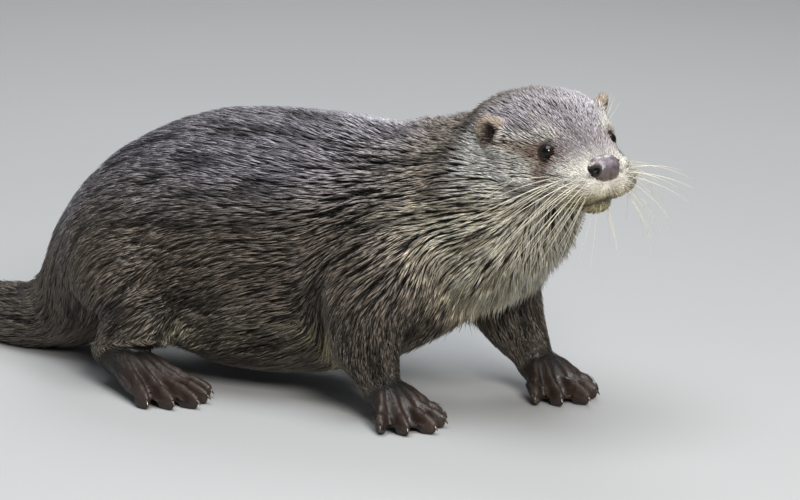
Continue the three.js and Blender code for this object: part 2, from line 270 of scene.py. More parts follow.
# The coat at stations along the spine. After each station come the length, depth, half width of a lock and
# size of a clump in millimetres, then the lift, how far the tips gather to a point, and the contrast of light
# tips over dark gaps, with painted light on the clumps' crests and painted shade in the gaps.
SPINE_COAT = np.array([
    (-737, 9, 1.6, 0.6, 3.0, 0.08, 0.3, 0.45), (-600, 13, 2.4, 0.65, 3.6, 0.06, 0.3, 0.45),
    (-430, 18, 3.4, 0.65, 4.4, 0.06, 0.3, 0.5), (-340, 22, 4.4, 0.7, 5.0, 0.08, 0.35, 0.5),
    (-270, 21, 4.2, 0.5, 4.8, 0.03, 0.2, 0.42), (-180, 21, 4.2, 0.5, 4.8, 0.03, 0.25, 0.48),
    (-110, 20, 4.2, 0.5, 4.2, 0.04, 0.4, 0.7), (-50, 17, 4.4, 0.5, 3.9, 0.1, 0.75, 0.95),
    (0, 16, 5.2, 0.52, 4.7, 0.18, 0.97, 1.0), (50, 16, 5.6, 0.5, 4.7, 0.22, 0.97, 1.0),
    (90, 13, 4.2, 0.46, 4.4, 0.22, 0.97, 1.0), (112, 9, 2.8, 0.4, 3.8, 0.22, 0.95, 1.0),
])
# The same on the top of the head and on the cheeks, by the distance forward of the ears, and down the legs by
# the share of the way.
CROWN_COAT = np.array([
    (-40, 10, 3.2, 0.44, 3.6, 0.26, 0.9, 1.0), (0, 7.5, 2.4, 0.36, 3.1, 0.3, 0.9, 1.0),
    (35, 5.5, 1.7, 0.3, 2.6, 0.24, 0.85, 1.0), (62, 3.8, 1.0, 0.26, 2.0, 0.14, 0.6, 0.7),
    (80, 2.6, 0.6, 0.22, 1.4, 0.1, 0.3, 0.5), (95, 1.8, 0.4, 0.2, 1.2, 0.1, 0.3, 0.5),
])
CHEEK_COAT = np.array([
    (-40, 16, 5.2, 0.48, 4.5, 0.24, 0.95, 1.0), (0, 13, 4.2, 0.42, 4.4, 0.22, 0.95, 1.0),
    (35, 10, 2.8, 0.34, 3.9, 0.2, 0.95, 1.0), (62, 6.5, 1.6, 0.26, 3.2, 0.18, 0.9, 1.0),
    (80, 4.2, 1.1, 0.24, 2.5, 0.16, 0.7, 1.0), (95, 2.8, 0.7, 0.2, 1.8, 0.14, 0.5, 0.8),
])
FORELEG_COAT = np.array([
    (0, 18, 5.2, 0.62, 4.8, 0.1, 0.6, 0.8), (0.25, 17, 4.6, 0.62, 4.6, 0.08, 0.5, 0.6),
    (0.45, 13, 3.4, 0.58, 4.0, 0.06, 0.4, 0.5), (0.62, 9, 2.0, 0.5, 3.0, 0.05, 0.35, 0.45),
    (0.74, 5, 0.8, 0.3, 2.2, 0.05, 0.3, 0.4), (0.86, 3, 0.2, 0.15, 1.6, 0.0, 0.2, 0.3),
    (1, 1.6, 0.1, 0.12, 1.4, 0.0, 0.2, 0.3),
])
HINDLEG_COAT = np.array([
    (0, 15, 4.0, 0.6, 4.4, 0.1, 0.4, 0.5), (0.2, 10, 2.2, 0.52, 3.4, 0.08, 0.4, 0.5),
    (0.32, 5, 0.8, 0.3, 2.4, 0.06, 0.3, 0.4), (0.55, 3, 0.2, 0.15, 1.6, 0.0, 0.2, 0.3),
    (1, 1.6, 0.1, 0.12, 1.4, 0.0, 0.2, 0.3),
])
COAT_SIZES = ("length", "depth", "width", "clump", "lift", "gather", "contrast")
# The short coats of the chin and of the ears' rims.
CHIN_COAT = {"length": 4.6, "width": 0.28, "clump": 2.8, "lift": 0.2, "contrast": 1.0}
RIM_COAT = {"length": 4.2, "depth": 0.4, "width": 0.28, "clump": 1.8, "lift": 0.3, "contrast": 0.35}

# Places and sizes on the head, forward, out and up from the middle between the ears.
EYE_PLACE = (51, 23.5, -8)
EAR_PLACE, EAR_YAW, EAR_LEAN = (6.0, 44.0, 0.0), math.radians(46), math.radians(20)
EAR_SHELL, EAR_BOWL = (11.5, 6.5, 12), (7.4, 5.8, 8.2)
NOSE_MIDDLE = (86.5, 0, -15.3)
NOSE_RADII = (13.4, 9.6, 8.8)


def distance_on_head(where, middle):
    """The distance in millimetres from a place on the head or its mirror image."""
    forward, out, up = middle
    return np.sqrt((where.forward - forward) ** 2 + (where.out - out) ** 2 + (where.up - up) ** 2)


def out_of_egg(points, middle, radii):
    """How far out of an egg each point is: nothing at its middle and one on its surface."""
    return np.sqrt((((points - middle) / radii) ** 2).sum(1))


def read_sizes(table, at):
    """The coat's sizes at places between the rows of a table."""
    return {name: np.interp(at, table[:, 0], table[:, i + 1]) for i, name in enumerate(COAT_SIZES)}


def coat_sizes(where):
    """The coat's sizes at each point: each zone's own, blended, with the fringes, the chin and the ears."""
    spine = read_sizes(SPINE_COAT, where.station)
    crown = read_sizes(CROWN_COAT, where.forward)
    cheek = read_sizes(CHEEK_COAT, where.forward)
    fore = read_sizes(FORELEG_COAT, where.fore_share)
    hind = read_sizes(HINDLEG_COAT, where.hind_share)
    below = smoothstep(-6, -30, where.up)
    ear, _ = ear_shares(where)
    sizes = {}
    for name in COAT_SIZES:
        head = mix(crown[name], cheek[name], below)
        value = mix(spine[name], head, where.head)
        value = mix(value, fore[name], where.fore * smoothstep(0.1, 0.35, where.fore_share))
        sizes[name] = mix(value, hind[name], where.hind)
    fringe = elbow_fringe(where)
    chest = chest_fringe(where)
    flank = flank_fringe(where)
    sizes["length"] = sizes["length"] + 12 * fringe + 4 * chest
    sizes["lift"] = sizes["lift"] + 0.45 * fringe + 0.35 * chest + 0.3 * flank
    sizes["gather"] = np.maximum.reduce([sizes["gather"], 0.85 * fringe, 0.9 * chest, 0.85 * flank])
    sizes["contrast"] = np.maximum.reduce([sizes["contrast"], 0.8 * fringe, chest, flank])
    eye = distance_on_head(where, EYE_PLACE)
    sizes["lift"] = sizes["lift"] + 0.3 * where.head * bump(eye, 11, 3) * smoothstep(50, 42, where.forward)
    for share, short_coat in ((chin_share(where), CHIN_COAT), (ear, RIM_COAT)):
        for name, value in short_coat.items():
            sizes[name] = mix(sizes[name], value, share)
    sizes["depth"] = sizes["depth"] * smoothstep(0, 9, where.low + 1.2)
    return sizes


def chin_share(where):
    """How surely a point is on the chin or the edge of the upper lip."""
    chin = where.head * smoothstep(-34, -42, where.up) * smoothstep(48, 66, where.forward)
    lip = where.head * bump(where.up, -37, 8) * smoothstep(74, 86, where.forward)
    return np.maximum(chin, lip)


def ear_shares(where):
    """How surely a point is on an ear, and how surely it is inside the ear's bowl."""
    on, inside = np.zeros(len(where.points)), np.zeros(len(where.points))
    local = np.stack([where.side, -where.forward, where.up], axis=1)
    for side in SIDES.values():
        root = np.array([side * EAR_PLACE[1], -EAR_PLACE[0], EAR_PLACE[2]])
        turn = Euler((0, side * EAR_LEAN, 0)).to_matrix() @ Euler((0, 0, side * EAR_YAW)).to_matrix()
        p = (local - root) @ np.array(turn)
        shell = out_of_egg(p, (0, 0, 0), EAR_SHELL)
        bowl = out_of_egg(p, (-side, -5, -0.5), EAR_BOWL) + 0.12 * noise_at(where.points, 0.0018, 61)
        clear = smoothstep(36.0, 39.5, where.out)
        on = np.maximum(on, smoothstep(1.32, 1.12, shell) * clear)
        inside = np.maximum(inside, smoothstep(1.16, 0.86, bowl))
    return on, inside


def elbow_fringe(where):
    """The long hair that hangs behind the elbows."""
    reach = smoothstep(0.36, 0.46, where.fore_share) * smoothstep(0.66, 0.56, where.fore_share)
    middle = np.interp(where.fore_share, [0.2, 0.45, 0.6], [-8, -18, -17])
    middle = middle + STRIDE * 0.6 * (where.points[:, 0] > 0)
    return where.fore * reach * smoothstep(-12, -26, where.front - middle) * smoothstep(88, 68, where.low)


def flank_fringe(where):
    """The pale pointed tufts where the flank meets the knee."""
    outer = smoothstep(55, 70, np.abs(where.points[:, 0] / MM))
    return bump(where.front, -166, 17) * bump(where.low, 46, 13) * outer


def chest_fringe(where):
    """The pointed locks along the lower edge of the chest."""
    chest = smoothstep(-10, 25, where.station) * smoothstep(75, 55, where.station)
    off_leg = 1 - where.fore * smoothstep(0.2, 0.4, where.fore_share)
    return chest * smoothstep(-25, -50, where.rise) * off_leg


# ---------------------------------------------------------------- markings
def shade(red, green, blue):
    """A screen colour from 0 to 255 as linear light."""
    c = np.array([red, green, blue]) / 255
    return tuple(np.where(c <= 0.04045, c / 12.92, ((c + 0.055) / 1.055) ** 2.4))


def colour_property(name, description, red, green, blue):
    """A colour that the panel shows, from screen values."""
    return FloatVectorProperty(
        name=name, description=description, subtype="COLOR", size=3, min=0, max=1,
        default=shade(red, green, blue),
    )


def length_property(name, description, default, low, high):
    """A length in metres that the panel shows."""
    return FloatProperty(
        name=name, description=description, subtype="DISTANCE", unit="LENGTH",
        default=default, min=low, max=high,
    )


def angle_property(name, description, degrees, low=-2 * math.pi, high=2 * math.pi):
    """An angle that the panel shows, with its default in degrees and its limits in radians."""
    return FloatProperty(
        name=name, description=description, subtype="ANGLE", unit="ROTATION",
        default=math.radians(degrees), min=low, max=high,
    )


def number_property(name, description, default, low, high):
    """A plain number that the panel shows."""
    return FloatProperty(name=name, description=description, default=default, min=low, max=high)


class OtterMarkings(bpy.types.PropertyGroup):
    """Colours of the coat and the bare skin."""

    back: colour_property("Back", "Tips of the hair on the back and flanks", 122, 111, 100)
    # Partly the dark underfur and skin, partly painted shade between and under the locks.
    roots: colour_property("Roots", "Hair near the skin and the partings between locks", 21, 17, 13)
    belly: colour_property("Belly", "Tips of the hair low on the flanks and the belly", 130, 121, 108)
    shoulder: colour_property("Shoulder", "Tips of the hair on the shoulders and the nape", 138, 128, 117)
    # Painted reflection: this colour stands in for the sky's gleam on the wet hair along the top of the back.
    sheen: colour_property("Sheen", "Cool gleam of the hair along the top of the back", 160, 156, 164)
    crown: colour_property("Crown", "Tips of the hair on the top of the head", 195, 186, 189)
    # Partly the dark underfur and skin of the crown, partly painted shade under its locks.
    crown_roots: colour_property("Crown roots", "Hair near the skin on the top of the head", 40, 33, 31)
    cheek: colour_property("Cheek", "Tips of the hair on the cheeks and the whisker pads", 250, 244, 230)
    throat: colour_property("Throat", "Tips of the hair on the throat and the chest", 246, 234, 205)
    # Partly the dark underfur and skin of the throat, partly painted shade under its locks.
    throat_roots: colour_property("Throat roots", "Hair near the skin on the throat", 40, 32, 23)
    chin: colour_property("Chin", "Hair of the chin and the lower lip", 222, 207, 160)
    mask: colour_property("Mask", "Brown hair round the eyes", 120, 97, 80)
    ear: colour_property("Ear", "Inside of the ears", 44, 32, 26)
    ear_rim: colour_property("Ear rim", "Short hair on the rims of the ears", 186, 169, 152)
    paw: colour_property("Paw", "Nearly bare skin of the feet", 26, 23, 20)
    toe: colour_property("Toe", "Browner skin on the tops of the toes", 54, 41, 33)
    web: colour_property("Web", "Skin of the webs between the toes", 38, 24, 17)
    mouth: colour_property("Mouth", "Lips and the line of the mouth", 24, 16, 13)


# The front edge of the brown on the neck: heights over the floor and distances forward of the shoulders.
PALE_HEIGHTS = (60, 95, 119, 140, 160, 172, 185, 197, 212)
PALE_FRONTS = (46, 42, 37, 35, 40, 50, 63, 84, 124)


def pale_share(where):
    """How pale the coat is: the cheeks, throat and chest, paling forward from a ragged line down the neck."""
    ragged = 12 * noise_at(where.points, 0.014, 3) + 6 * noise_at(where.points, 0.005, 4)
    edge = np.interp(where.low, PALE_HEIGHTS, PALE_FRONTS)
    neck = smoothstep(-26, 26, where.front - edge + ragged)
    cheek = smoothstep(5, -6, where.up + 0.35 * ragged) * smoothstep(-18, 2, where.forward + 0.6 * ragged)
    cheek = np.maximum(cheek, smoothstep(-10, -34, where.up) * neck)
    muzzle = smoothstep(52, 74, where.forward) * smoothstep(-7, -17, where.up)
    beside_nose = smoothstep(76, 84, where.forward) * smoothstep(5, 11, where.out)
    head = np.maximum.reduce([cheek * smoothstep(62, 50, where.forward), muzzle, beside_nose])
    pale = mix(neck, head, where.head)
    on_leg = where.fore * smoothstep(0.16, 0.34, where.fore_share)
    return pale * (1 - on_leg)


def mask_share(where):
    """The brown patch round each eye, drawn out forward and down the muzzle and back towards the ear."""
    f, u = where.forward - EYE_PLACE[0], where.up - EYE_PLACE[2]
    patch = np.exp(-((f / 14) ** 2) - ((u + 1.5) / 9) ** 2)
    forward = np.exp(-(((f - 9) / 9) ** 2) - ((u + 11 + 0.5 * f) / 7) ** 2)
    back = np.exp(-(((f + 24) / 16) ** 2) - ((u + 0.5 + 0.05 * f) / 4.2) ** 2)
    return np.clip(patch + 0.9 * forward + 0.8 * back, 0, 1) * smoothstep(9, 17, where.out) * where.head


def whisker_roots():
    """Forward, out and up of the whiskers' roots on each lip, in rows."""
    return [
        (89.0 - 5.2 * k - 0.7 * row, 15.0 + 3.6 * k - 0.5 * row, -19.5 - 3.3 * row - 0.2 * k)
        for row in range(5) for k in range(5)
    ]


def whisker_dots(where):
    """The dark dots at the roots of the whiskers."""
    dots = np.zeros(len(where.points))
    for f, _, up in whisker_roots():
        away = ((where.forward - f + 0.8) / 1.5) ** 2 + (where.up - up) ** 2
        dots = np.maximum(dots, np.exp(-away / 1.5))
    return dots * where.head * smoothstep(7, 10, where.out)


def foot_shares(where):
    """How surely a point is on a nearly bare foot, and how far out on its toes."""
    fore, hind = where.fore_share, where.hind_share
    foot = np.maximum(where.fore * smoothstep(0.66, 0.8, fore), where.hind * smoothstep(0.2, 0.36, hind))
    toe = np.maximum(where.fore * smoothstep(0.84, 1.0, fore), where.hind * smoothstep(0.5, 0.95, hind))
    return foot, toe


def trunk_colours(where, c):
    """Tips and roots of the hair by the body's regions: belly, shoulders, a painted bluish gleam, crown and
    throat.
    """
    low = smoothstep(-10, -75, where.rise) * smoothstep(-330, -250, where.station) * (1 - where.head)
    tips = mix(c["back"], c["belly"], low)
    tips = mix(tips, c["shoulder"], smoothstep(-25, 30, where.station))
    # Painted reflection: the top of the back and noisy patches over the upper flanks are made paler and
    # bluer, standing in for the sky's gleam on the wet coat.
    gleam = smoothstep(0.1, 1.0, noise_at(where.points, 0.028, 71)) * smoothstep(-30, 20, where.rise)
    top = smoothstep(15, 75, where.rise)
    painted_sheen_share = np.clip(0.8 * top + 0.5 * gleam, 0, 0.9) * smoothstep(-330, -250, where.station) * (1 - where.head)
    tips = mix(tips, c["sheen"], painted_sheen_share * mix(1.0, 0.55, smoothstep(-20, 50, where.station)))
    crown = where.head * smoothstep(-30, 10, where.forward)
    tips = mix(tips, c["crown"], crown)
    pale = pale_share(where)
    throat = mix(c["throat"], c["cheek"], where.head * smoothstep(-60, -25, where.up))
    tips = mix(tips, throat, pale)
    front = pale * smoothstep(20, 70, where.front) * (1 - where.head)
    roots = mix(c["roots"], c["throat_roots"], front)
    return tips, mix(roots, c["crown_roots"], crown)


def face_colours(tips, roots, where, c):
    """Lays the pale muzzle, the chin, the mask and the pale streak over each eye on the head."""
    muzzle = where.head * smoothstep(56, 76, where.forward)
    roots = mix(roots, c["cheek"] * 0.34, muzzle * smoothstep(2, -14, where.up))
    chin, mask = chin_share(where), mask_share(where)
    tips, roots = mix(tips, c["chin"], chin), mix(roots, c["chin"] * 0.22, chin)
    tips, roots = mix(tips, c["mask"], 0.92 * mask), mix(roots, c["mask"] * 0.3, mask)
    streak = where.head * bump(where.up, 2 + 0.03 * (where.forward - 50), 2.4) * bump(where.forward, 40, 22)
    return mix(tips, c["cheek"], 0.75 * streak * smoothstep(14, 20, where.out)), roots


def limb_colours(tips, roots, where, c):
    """Lays the pale fringes, the bare dark feet and the brown of the forelegs on the limbs."""
    fringe = np.clip(elbow_fringe(where) + 0.35 * chest_fringe(where), 0, 1)
    tips = mix(tips, c["chin"], 0.7 * fringe)
    tips = mix(tips, c["throat"], 0.75 * flank_fringe(where))
    foot, toe = foot_shares(where)
    ridge, web = toe_shares(where.points)
    bare = mix(c["paw"], c["toe"], np.clip(0.25 * toe + 0.65 * ridge, 0, 1))
    bare = mix(bare, c["web"], 0.8 * web)
    tips, roots = mix(tips, bare, foot), mix(roots, bare * 0.75, foot)
    leg = where.fore * smoothstep(0.1, 0.3, where.fore_share) * (1 - foot) * (1 - fringe)
    return mix(tips, c["back"] * 0.75, leg * 0.85), roots


def spot_colours(tips, roots, where, c):
    """Lays the dots of the whiskers' roots, the notch of the lips and the ears over the rest."""
    notch = (where.forward - 88.5) ** 2 + where.out**2 + (where.up + 37.0) ** 2
    dots = np.maximum(whisker_dots(where), where.head * np.exp(-notch / 24.0))
    tips, roots = mix(tips, c["mouth"], 0.92 * dots), mix(roots, c["mouth"], 0.92 * dots)
    rim, inside = ear_shares(where)
    tips, roots = mix(tips, c["ear_rim"], rim), mix(roots, c["ear_rim"] * 0.3, rim)
    return mix(tips, c["ear"], inside), mix(roots, c["ear"] * 0.7, inside)


def markings(where, colours):
    """Colour at the tips and at the roots of the hair, for points of the surface."""
    rows = (len(where.points), 1)
    c = {name: np.tile(np.array(getattr(colours, name)), rows) for name in OtterMarkings.__annotations__}
    tips, roots = trunk_colours(where, c)
    for lay_over in (face_colours, limb_colours, spot_colours):
        tips, roots = lay_over(tips, roots, where, c)
    return np.clip(tips, 0, 1), np.clip(roots, 0, 1)


# ---------------------------------------------------------------- meshes
def read_vectors(items, name, width=3):
    """A row of numbers for each item of a mesh."""
    kind = np.int32 if name in ("vertices", "vertex_index") else np.float32
    values = np.empty(len(items) * width, kind)
    items.foreach_get(name, values)
    return values.reshape(-1, width) if width > 1 else values


def points_of(mesh):
    return read_vectors(mesh.vertices, "co").astype(float)


def triangles_of(mesh):
    return read_vectors(mesh.loops, "vertex_index", 1).reshape(-1, 3)


def move_points(mesh, points):
    mesh.vertices.foreach_set("co", points.astype(np.float32).ravel())


def shade_smooth(mesh):
    mesh.polygons.foreach_set("use_smooth", np.ones(len(mesh.polygons), bool))


def mesh_of(name, points, triangles):
    """A smooth mesh of triangles."""
    mesh = bpy.data.meshes.new(name)
    mesh.vertices.add(len(points))
    move_points(mesh, points)
    mesh.loops.add(len(triangles) * 3)
    mesh.loops.foreach_set("vertex_index", triangles.astype(np.int32).ravel())
    mesh.polygons.add(len(triangles))
    mesh.polygons.foreach_set("loop_start", np.arange(len(triangles), dtype=np.int32) * 3)
    shade_smooth(mesh)
    mesh.update(calc_edges=True)
    return mesh


def add_object(name, mesh):
    piece = bpy.data.objects.new(name, mesh)
    bpy.context.scene.collection.objects.link(piece)
    return piece


def add_piece(name, mesh, material, replaced=()):
    """Adds a finished piece, with the nodes of the frame that it stands for."""
    piece = add_object(name, mesh)
    mesh.materials.append(material)
    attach(piece, "root")
    if replaced:
        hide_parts(*replaced)


def set_colours(mesh, name, colours):
    """Keeps a colour at each point of the mesh, for its material."""
    layer = mesh.color_attributes.new(name, "FLOAT_COLOR", "POINT")
    values = np.ones((len(mesh.vertices), 4), np.float32)
    values[:, :3] = colours
    layer.data.foreach_set("color", values.ravel())


def set_vectors(mesh, name, vectors):
    """Keeps three numbers at each point of the mesh, for its material."""
    layer = mesh.attributes.new(name, "FLOAT_VECTOR", "POINT")
    layer.data.foreach_set("vector", vectors.astype(np.float32).ravel())


def remove_with_mesh(piece):
    mesh = piece.data
    bpy.data.objects.remove(piece)
    bpy.data.meshes.remove(mesh)


def applied(piece):
    """The piece's mesh with its modifiers applied; the piece itself is removed."""
    graph = bpy.context.evaluated_depsgraph_get()
    mesh = bpy.data.meshes.new_from_object(piece.evaluated_get(graph))
    remove_with_mesh(piece)
    return mesh


def thinned(name, mesh, faces):
    """The mesh with about that many faces left."""
    piece = add_object(name, mesh)
    thin = piece.modifiers.new("thin", "DECIMATE")
    thin.ratio = min(1.0, faces / len(mesh.polygons))
    return applied(piece)


def tree_of(points):
    """A tree that finds the nearest of the points."""
    tree = KDTree(len(points))
    for i, p in enumerate(points.tolist()):
        tree.insert(p, i)
    tree.balance()
    return tree


def nearest_points(tree, points):
    find = tree.find
    return np.fromiter((find(p)[1] for p in points.tolist()), int, len(points))


def welded(nodes, grow=0.0):
    """One mesh of copies of the frame's nodes with their shared corners joined, each grown a little."""
    whole = bmesh.new()
    for node in nodes:
        one = bmesh.new()
        one.from_mesh(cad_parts[node].data)
        bmesh.ops.remove_doubles(one, verts=one.verts, dist=1e-6)
        bmesh.ops.recalc_face_normals(one, faces=one.faces)
        one.normal_update()
        for corner in one.verts:
            corner.co += corner.normal * grow
        part = bpy.data.meshes.new("part")
        one.to_mesh(part)
        one.free()
        whole.from_mesh(part)
        bpy.data.meshes.remove(part)
    mesh = bpy.data.meshes.new("welded")
    whole.to_mesh(mesh)
    whole.free()
    return mesh


# How far a point moves to its neighbours' middle in one step.
RELAX_STEP = 0.55


def relax(points, edges, steps, amount, back=0.0):
    """Evens out the surface, by an amount from 0 to 1 at each point; a step back each time keeps its size."""
    a, b = edges[:, 0], edges[:, 1]
    many = len(points)
    degree = np.maximum(np.bincount(a, minlength=many) + np.bincount(b, minlength=many), 1)
    weight = (RELAX_STEP * amount)[:, None]
    for _ in range(steps):
        for share in (1, -back) if back else (1,):
            total = np.stack([
                np.bincount(a, points[b, k], many) + np.bincount(b, points[a, k], many) for k in range(3)
            ], axis=1)
            points = points + share * weight * (total / degree[:, None] - points)
    return points


def normals_of(points, triangles):
    """The surface's direction at each point, from the triangles round it."""
    corner = points[triangles]
    facing = np.cross(corner[:, 1] - corner[:, 0], corner[:, 2] - corner[:, 0])
    normals = np.zeros_like(points)
    for k in range(3):
        for axis in range(3):
            normals[:, axis] += np.bincount(triangles[:, k], facing[:, axis], len(points))
    return unit(normals)


# ---------------------------------------------------------------- skin
class OtterSkin(bpy.types.PropertyGroup):
    """Sizes of the skin."""

    grain: length_property("Grain", "Space between the skin's points at first", 0.0015, 0.001, 0.006)
    faces: IntProperty(
        name="Faces", description="Triangles left in the skin", default=185000, min=20000, max=199000
    )
    eye_radius: length_property("Eye radius", "Radius of each eyeball", 0.0062, 0.003, 0.01)
    lid_opening: angle_property("Lid opening", "Half the angle that the lids leave open", 60, 0.3, 1.4)


# The way the eyes face: forward, out and up.
EYE_FACING = (0.66, 0.72, 0.20)
# The line of the mouth, the groove under the nose and the notch at the lips' middle, on the head.
MOUTH_LINE = [
    (82.5, 0, -41.2), (81, 5, -41.2), (77, 10, -41.3), (70, 13.5, -42.2), (60, 17, -43.6), (50, 20.5, -43.4),
]
PHILTRUM = [(95, 0, -24), (93.5, 0, -30), (90, 0, -37.5)]
NOTCH = [(90.5, 0, -35.0), (88.5, 0, -38.5), (85, 0, -41.5)]

# Sizes in metres. Each solid grows by the overlap before they are fused.
OVERLAP = 0.00035
LID_THICKNESS, LID_FOLD, LID_RIM, LID_CORNER = 0.0007, 0.0003, 0.0003, 0.0028
TOE_RISE, WEB_SINK, KNUCKLE_RISE, CREASE_RISE = 0.0016, 0.0034, 0.0009, 0.00014
TOE_DRAW, WEB_DRAW = 0.0018, 0.0045
LIP_DEPTH, PHILTRUM_DEPTH, NOTCH_DEPTH = 0.0026, 0.0009, 0.0026
BROW_RISE, NOSE_BED = 0.0009, 0.0075


def fused_body(grain):
    """All the flesh as one closed surface, without the steps between the solids."""
    flesh = [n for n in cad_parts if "claw" not in n]
    block = add_object("flesh", welded(flesh, OVERLAP))
    remesh = block.modifiers.new("fuse", "REMESH")
    remesh.mode, remesh.voxel_size, remesh.adaptivity = "VOXEL", grain, 0
    remesh.use_smooth_shade = True
    return applied(block)


def refined(mesh, chosen):
    """Splits the faces round the chosen points, for finer shapes there."""
    body = bmesh.new()
    body.from_mesh(mesh)
    body.verts.ensure_lookup_table()
    picked = set(np.nonzero(chosen)[0].tolist())
    edges = [e for e in body.edges if e.verts[0].index in picked and e.verts[1].index in picked]
    bmesh.ops.subdivide_edges(body, edges=edges, cuts=1, use_grid_fill=True)
    bmesh.ops.triangulate(body, faces=body.faces)
    body.to_mesh(mesh)
    body.free()


def eye_axes(side):
    """The eye's middle and its three axes: facing, towards the nose and up."""
    low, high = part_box(f"eye_{side}")
    middle = np.array((low + high) / 2)
    forward, out, up = EYE_FACING
    facing = head_direction(forward, out * SIDES[side], up)
    above = head_direction(0, 0, 1)
    above = unit(above - facing * (above @ facing))
    ahead = np.cross(above, facing) * SIDES[side]
    return middle, facing, ahead, above


def shape_lids(points, skin):
    """Draws the skin round each eyeball into an upper and a lower lid, and opens it between them."""
    for side in SIDES:
        middle, facing, ahead, above = eye_axes(side)
        away = points - middle
        distance = np.linalg.norm(away, axis=1)
        near = distance < skin.eye_radius * 2.3
        direction = unit(away[near])
        angle = np.arccos(np.clip(direction @ facing, -1, 1))
        x, y = direction @ ahead, direction @ above
        round_about = np.arctan2(y, x)
        wide = skin.lid_opening
        high = wide * np.where(y > 0, 0.80, 0.78)
        opening = 1 / np.sqrt((np.cos(round_about) / wide) ** 2 + (np.sin(round_about) / high) ** 2)
        opening = opening * (1 + 0.10 * np.cos(round_about) ** 6)
        past = np.degrees(angle - opening)
        r = skin.eye_radius
        behind = smoothstep(0.3, -0.6, np.cos(round_about)) * smoothstep(4, 26, past)
        lid = r + LID_THICKNESS - LID_FOLD * bump(past, 22, 6) + LID_RIM * bump(past, 8, 7)
        lid = lid + LID_CORNER * behind
        outer = mix(lid, np.maximum(distance[near], lid), smoothstep(8, 34, past))
        target = mix(np.full(len(past), r * 0.6), outer, smoothstep(-2.5, 1.5, past))
        fade = smoothstep(2.2, 1.7, distance[near] / r)
        target = mix(distance[near], target, np.where(past < 0, 1.0, fade))
        points[near] = middle + direction * target[:, None]
    return points


def groove(points, line, width):
    """How near each point is to a line on the head and its mirror image, from 0 to 1."""
    best = np.full(len(points), 9.0)
    for side in SIDES.values():
        curve, _ = smooth_line([on_head(f, side * s, u) for f, s, u in line], 10)
        index = nearest_on(points, curve)
        best = np.minimum(best, np.linalg.norm(points - curve[index], axis=1))
    return np.exp(-((best / (width * MM)) ** 2))


FEET = ("forefoot_right", "forefoot_left", "hindfoot_right", "hindfoot_left")


def toe_lines(foot):
    """The ankle and the claws of a foot, from the frame."""
    side = SIDES["left" if "left" in foot else "right"]
    ankle = foreleg_line(side)[0][6] if foot.startswith("fore") else hindleg_line(side)[0][1]
    claws = [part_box(f"{foot}_claw_{number}") for number in range(1, 6)]
    return place(*ankle), [np.array((low + high) / 2) for low, high in claws]


def toe_places(points, foot):
    """Which points are near a foot, and for each the nearest toe: how far off it is and how far along it,
    half the gap between toes there, and the toe's heading.
    """
    ankle, claws = toe_lines(foot)
    low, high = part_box(foot)
    room = 6 * MM
    chosen = ((points > np.array(low) - room) & (points < np.array(high) + room)).all(1)
    away = points[chosen][:, :2] - ankle[:2]
    best = np.full(len(away), 9.0)
    along = np.zeros(len(away))
    heading = np.zeros((len(away), 2))
    for claw in claws:
        run = claw[:2] - ankle[:2]
        reach = np.linalg.norm(run)
        across = np.abs(away @ np.array([-run[1], run[0]]) / reach)
        nearer = across < best
        best = np.where(nearer, across, best)
        along = np.where(nearer, away @ run / reach**2, along)
        heading[nearer] = run / reach
    gap = np.linalg.norm(claws[1][:2] - claws[3][:2]) / 2 * np.clip(along, 0.3, 1)
    return chosen, best, along, gap, heading


def toe_shares(points):
    """How surely each point is on the ridge of a toe, and how surely on the web between two."""
    ridge, web = np.zeros(len(points)), np.zeros(len(points))
    for foot in FEET:
        chosen, best, along, gap, _ = toe_places(points, foot)
        toe = np.exp(-((best / (0.34 * gap)) ** 2))
        ridge[chosen] = toe * smoothstep(0.3, 0.55, along)
        web[chosen] = (1 - toe) * smoothstep(0.4, 0.65, along)
    return ridge, web


def shape_feet(points, normals):
    """Raises each toe and its knuckles over the sunk web, with faint creases across the toes."""
    for foot in FEET:
        chosen, best, along, gap, heading = toe_places(points, foot)
        mine, facing = points[chosen], normals[chosen]
        toe = np.exp(-((best / (0.32 * gap)) ** 2))
        reach_in = smoothstep(0.26, 0.5, along) * smoothstep(1.08, 0.98, along)
        top = np.clip(facing[:, 2] * 1.4, 0, 1) * (mine[:, 2] < 0.04)
        knuckle = bump(along, 0.66, 0.05) + 0.8 * bump(along, 0.84, 0.045)
        rise = TOE_RISE * toe - WEB_SINK * (1 - toe) * smoothstep(0.42, 0.66, along)
        rise = rise + KNUCKLE_RISE * toe * knuckle
        crease = np.sin(along * 190) * toe * smoothstep(0.62, 0.7, along)
        mine = mine + facing * ((rise + CREASE_RISE * crease) * reach_in * top)[:, None]
        drawn = TOE_DRAW * toe * smoothstep(0.84, 0.96, along)
        drawn = drawn - WEB_DRAW * (1 - toe) * smoothstep(0.68, 0.95, along)
        mine[:, :2] += heading * (drawn * smoothstep(1.12, 1.0, along))[:, None]
        points[chosen] = mine
    return points


def evened_body(mesh):
    """Rubs out the steps between the solids, except on the finer face, ears and feet."""
    points = points_of(mesh)
    edges = read_vectors(mesh.edges, "vertices", 2)
    where = Places(points)
    fine = np.maximum.reduce([
        where.head * smoothstep(-10, 30, where.forward),
        where.fore * smoothstep(0.66, 0.78, where.fore_share),
        where.hind * smoothstep(0.12, 0.3, where.hind_share),
        smoothstep(26, 20, distance_on_head(where, EAR_PLACE)),
    ])
    points = relax(points, edges, 70, 1 - fine)
    move_points(mesh, relax(points, edges, 7, np.ones(len(points)), 1.02))


def refine_round_eyes(mesh):
    """Splits the faces round both eyes twice."""
    for radius in (0.016, 0.0125):
        points = points_of(mesh)
        near = np.zeros(len(points), bool)
        for side in SIDES:
            near |= np.linalg.norm(points - eye_axes(side)[0], axis=1) < radius
        refined(mesh, near)


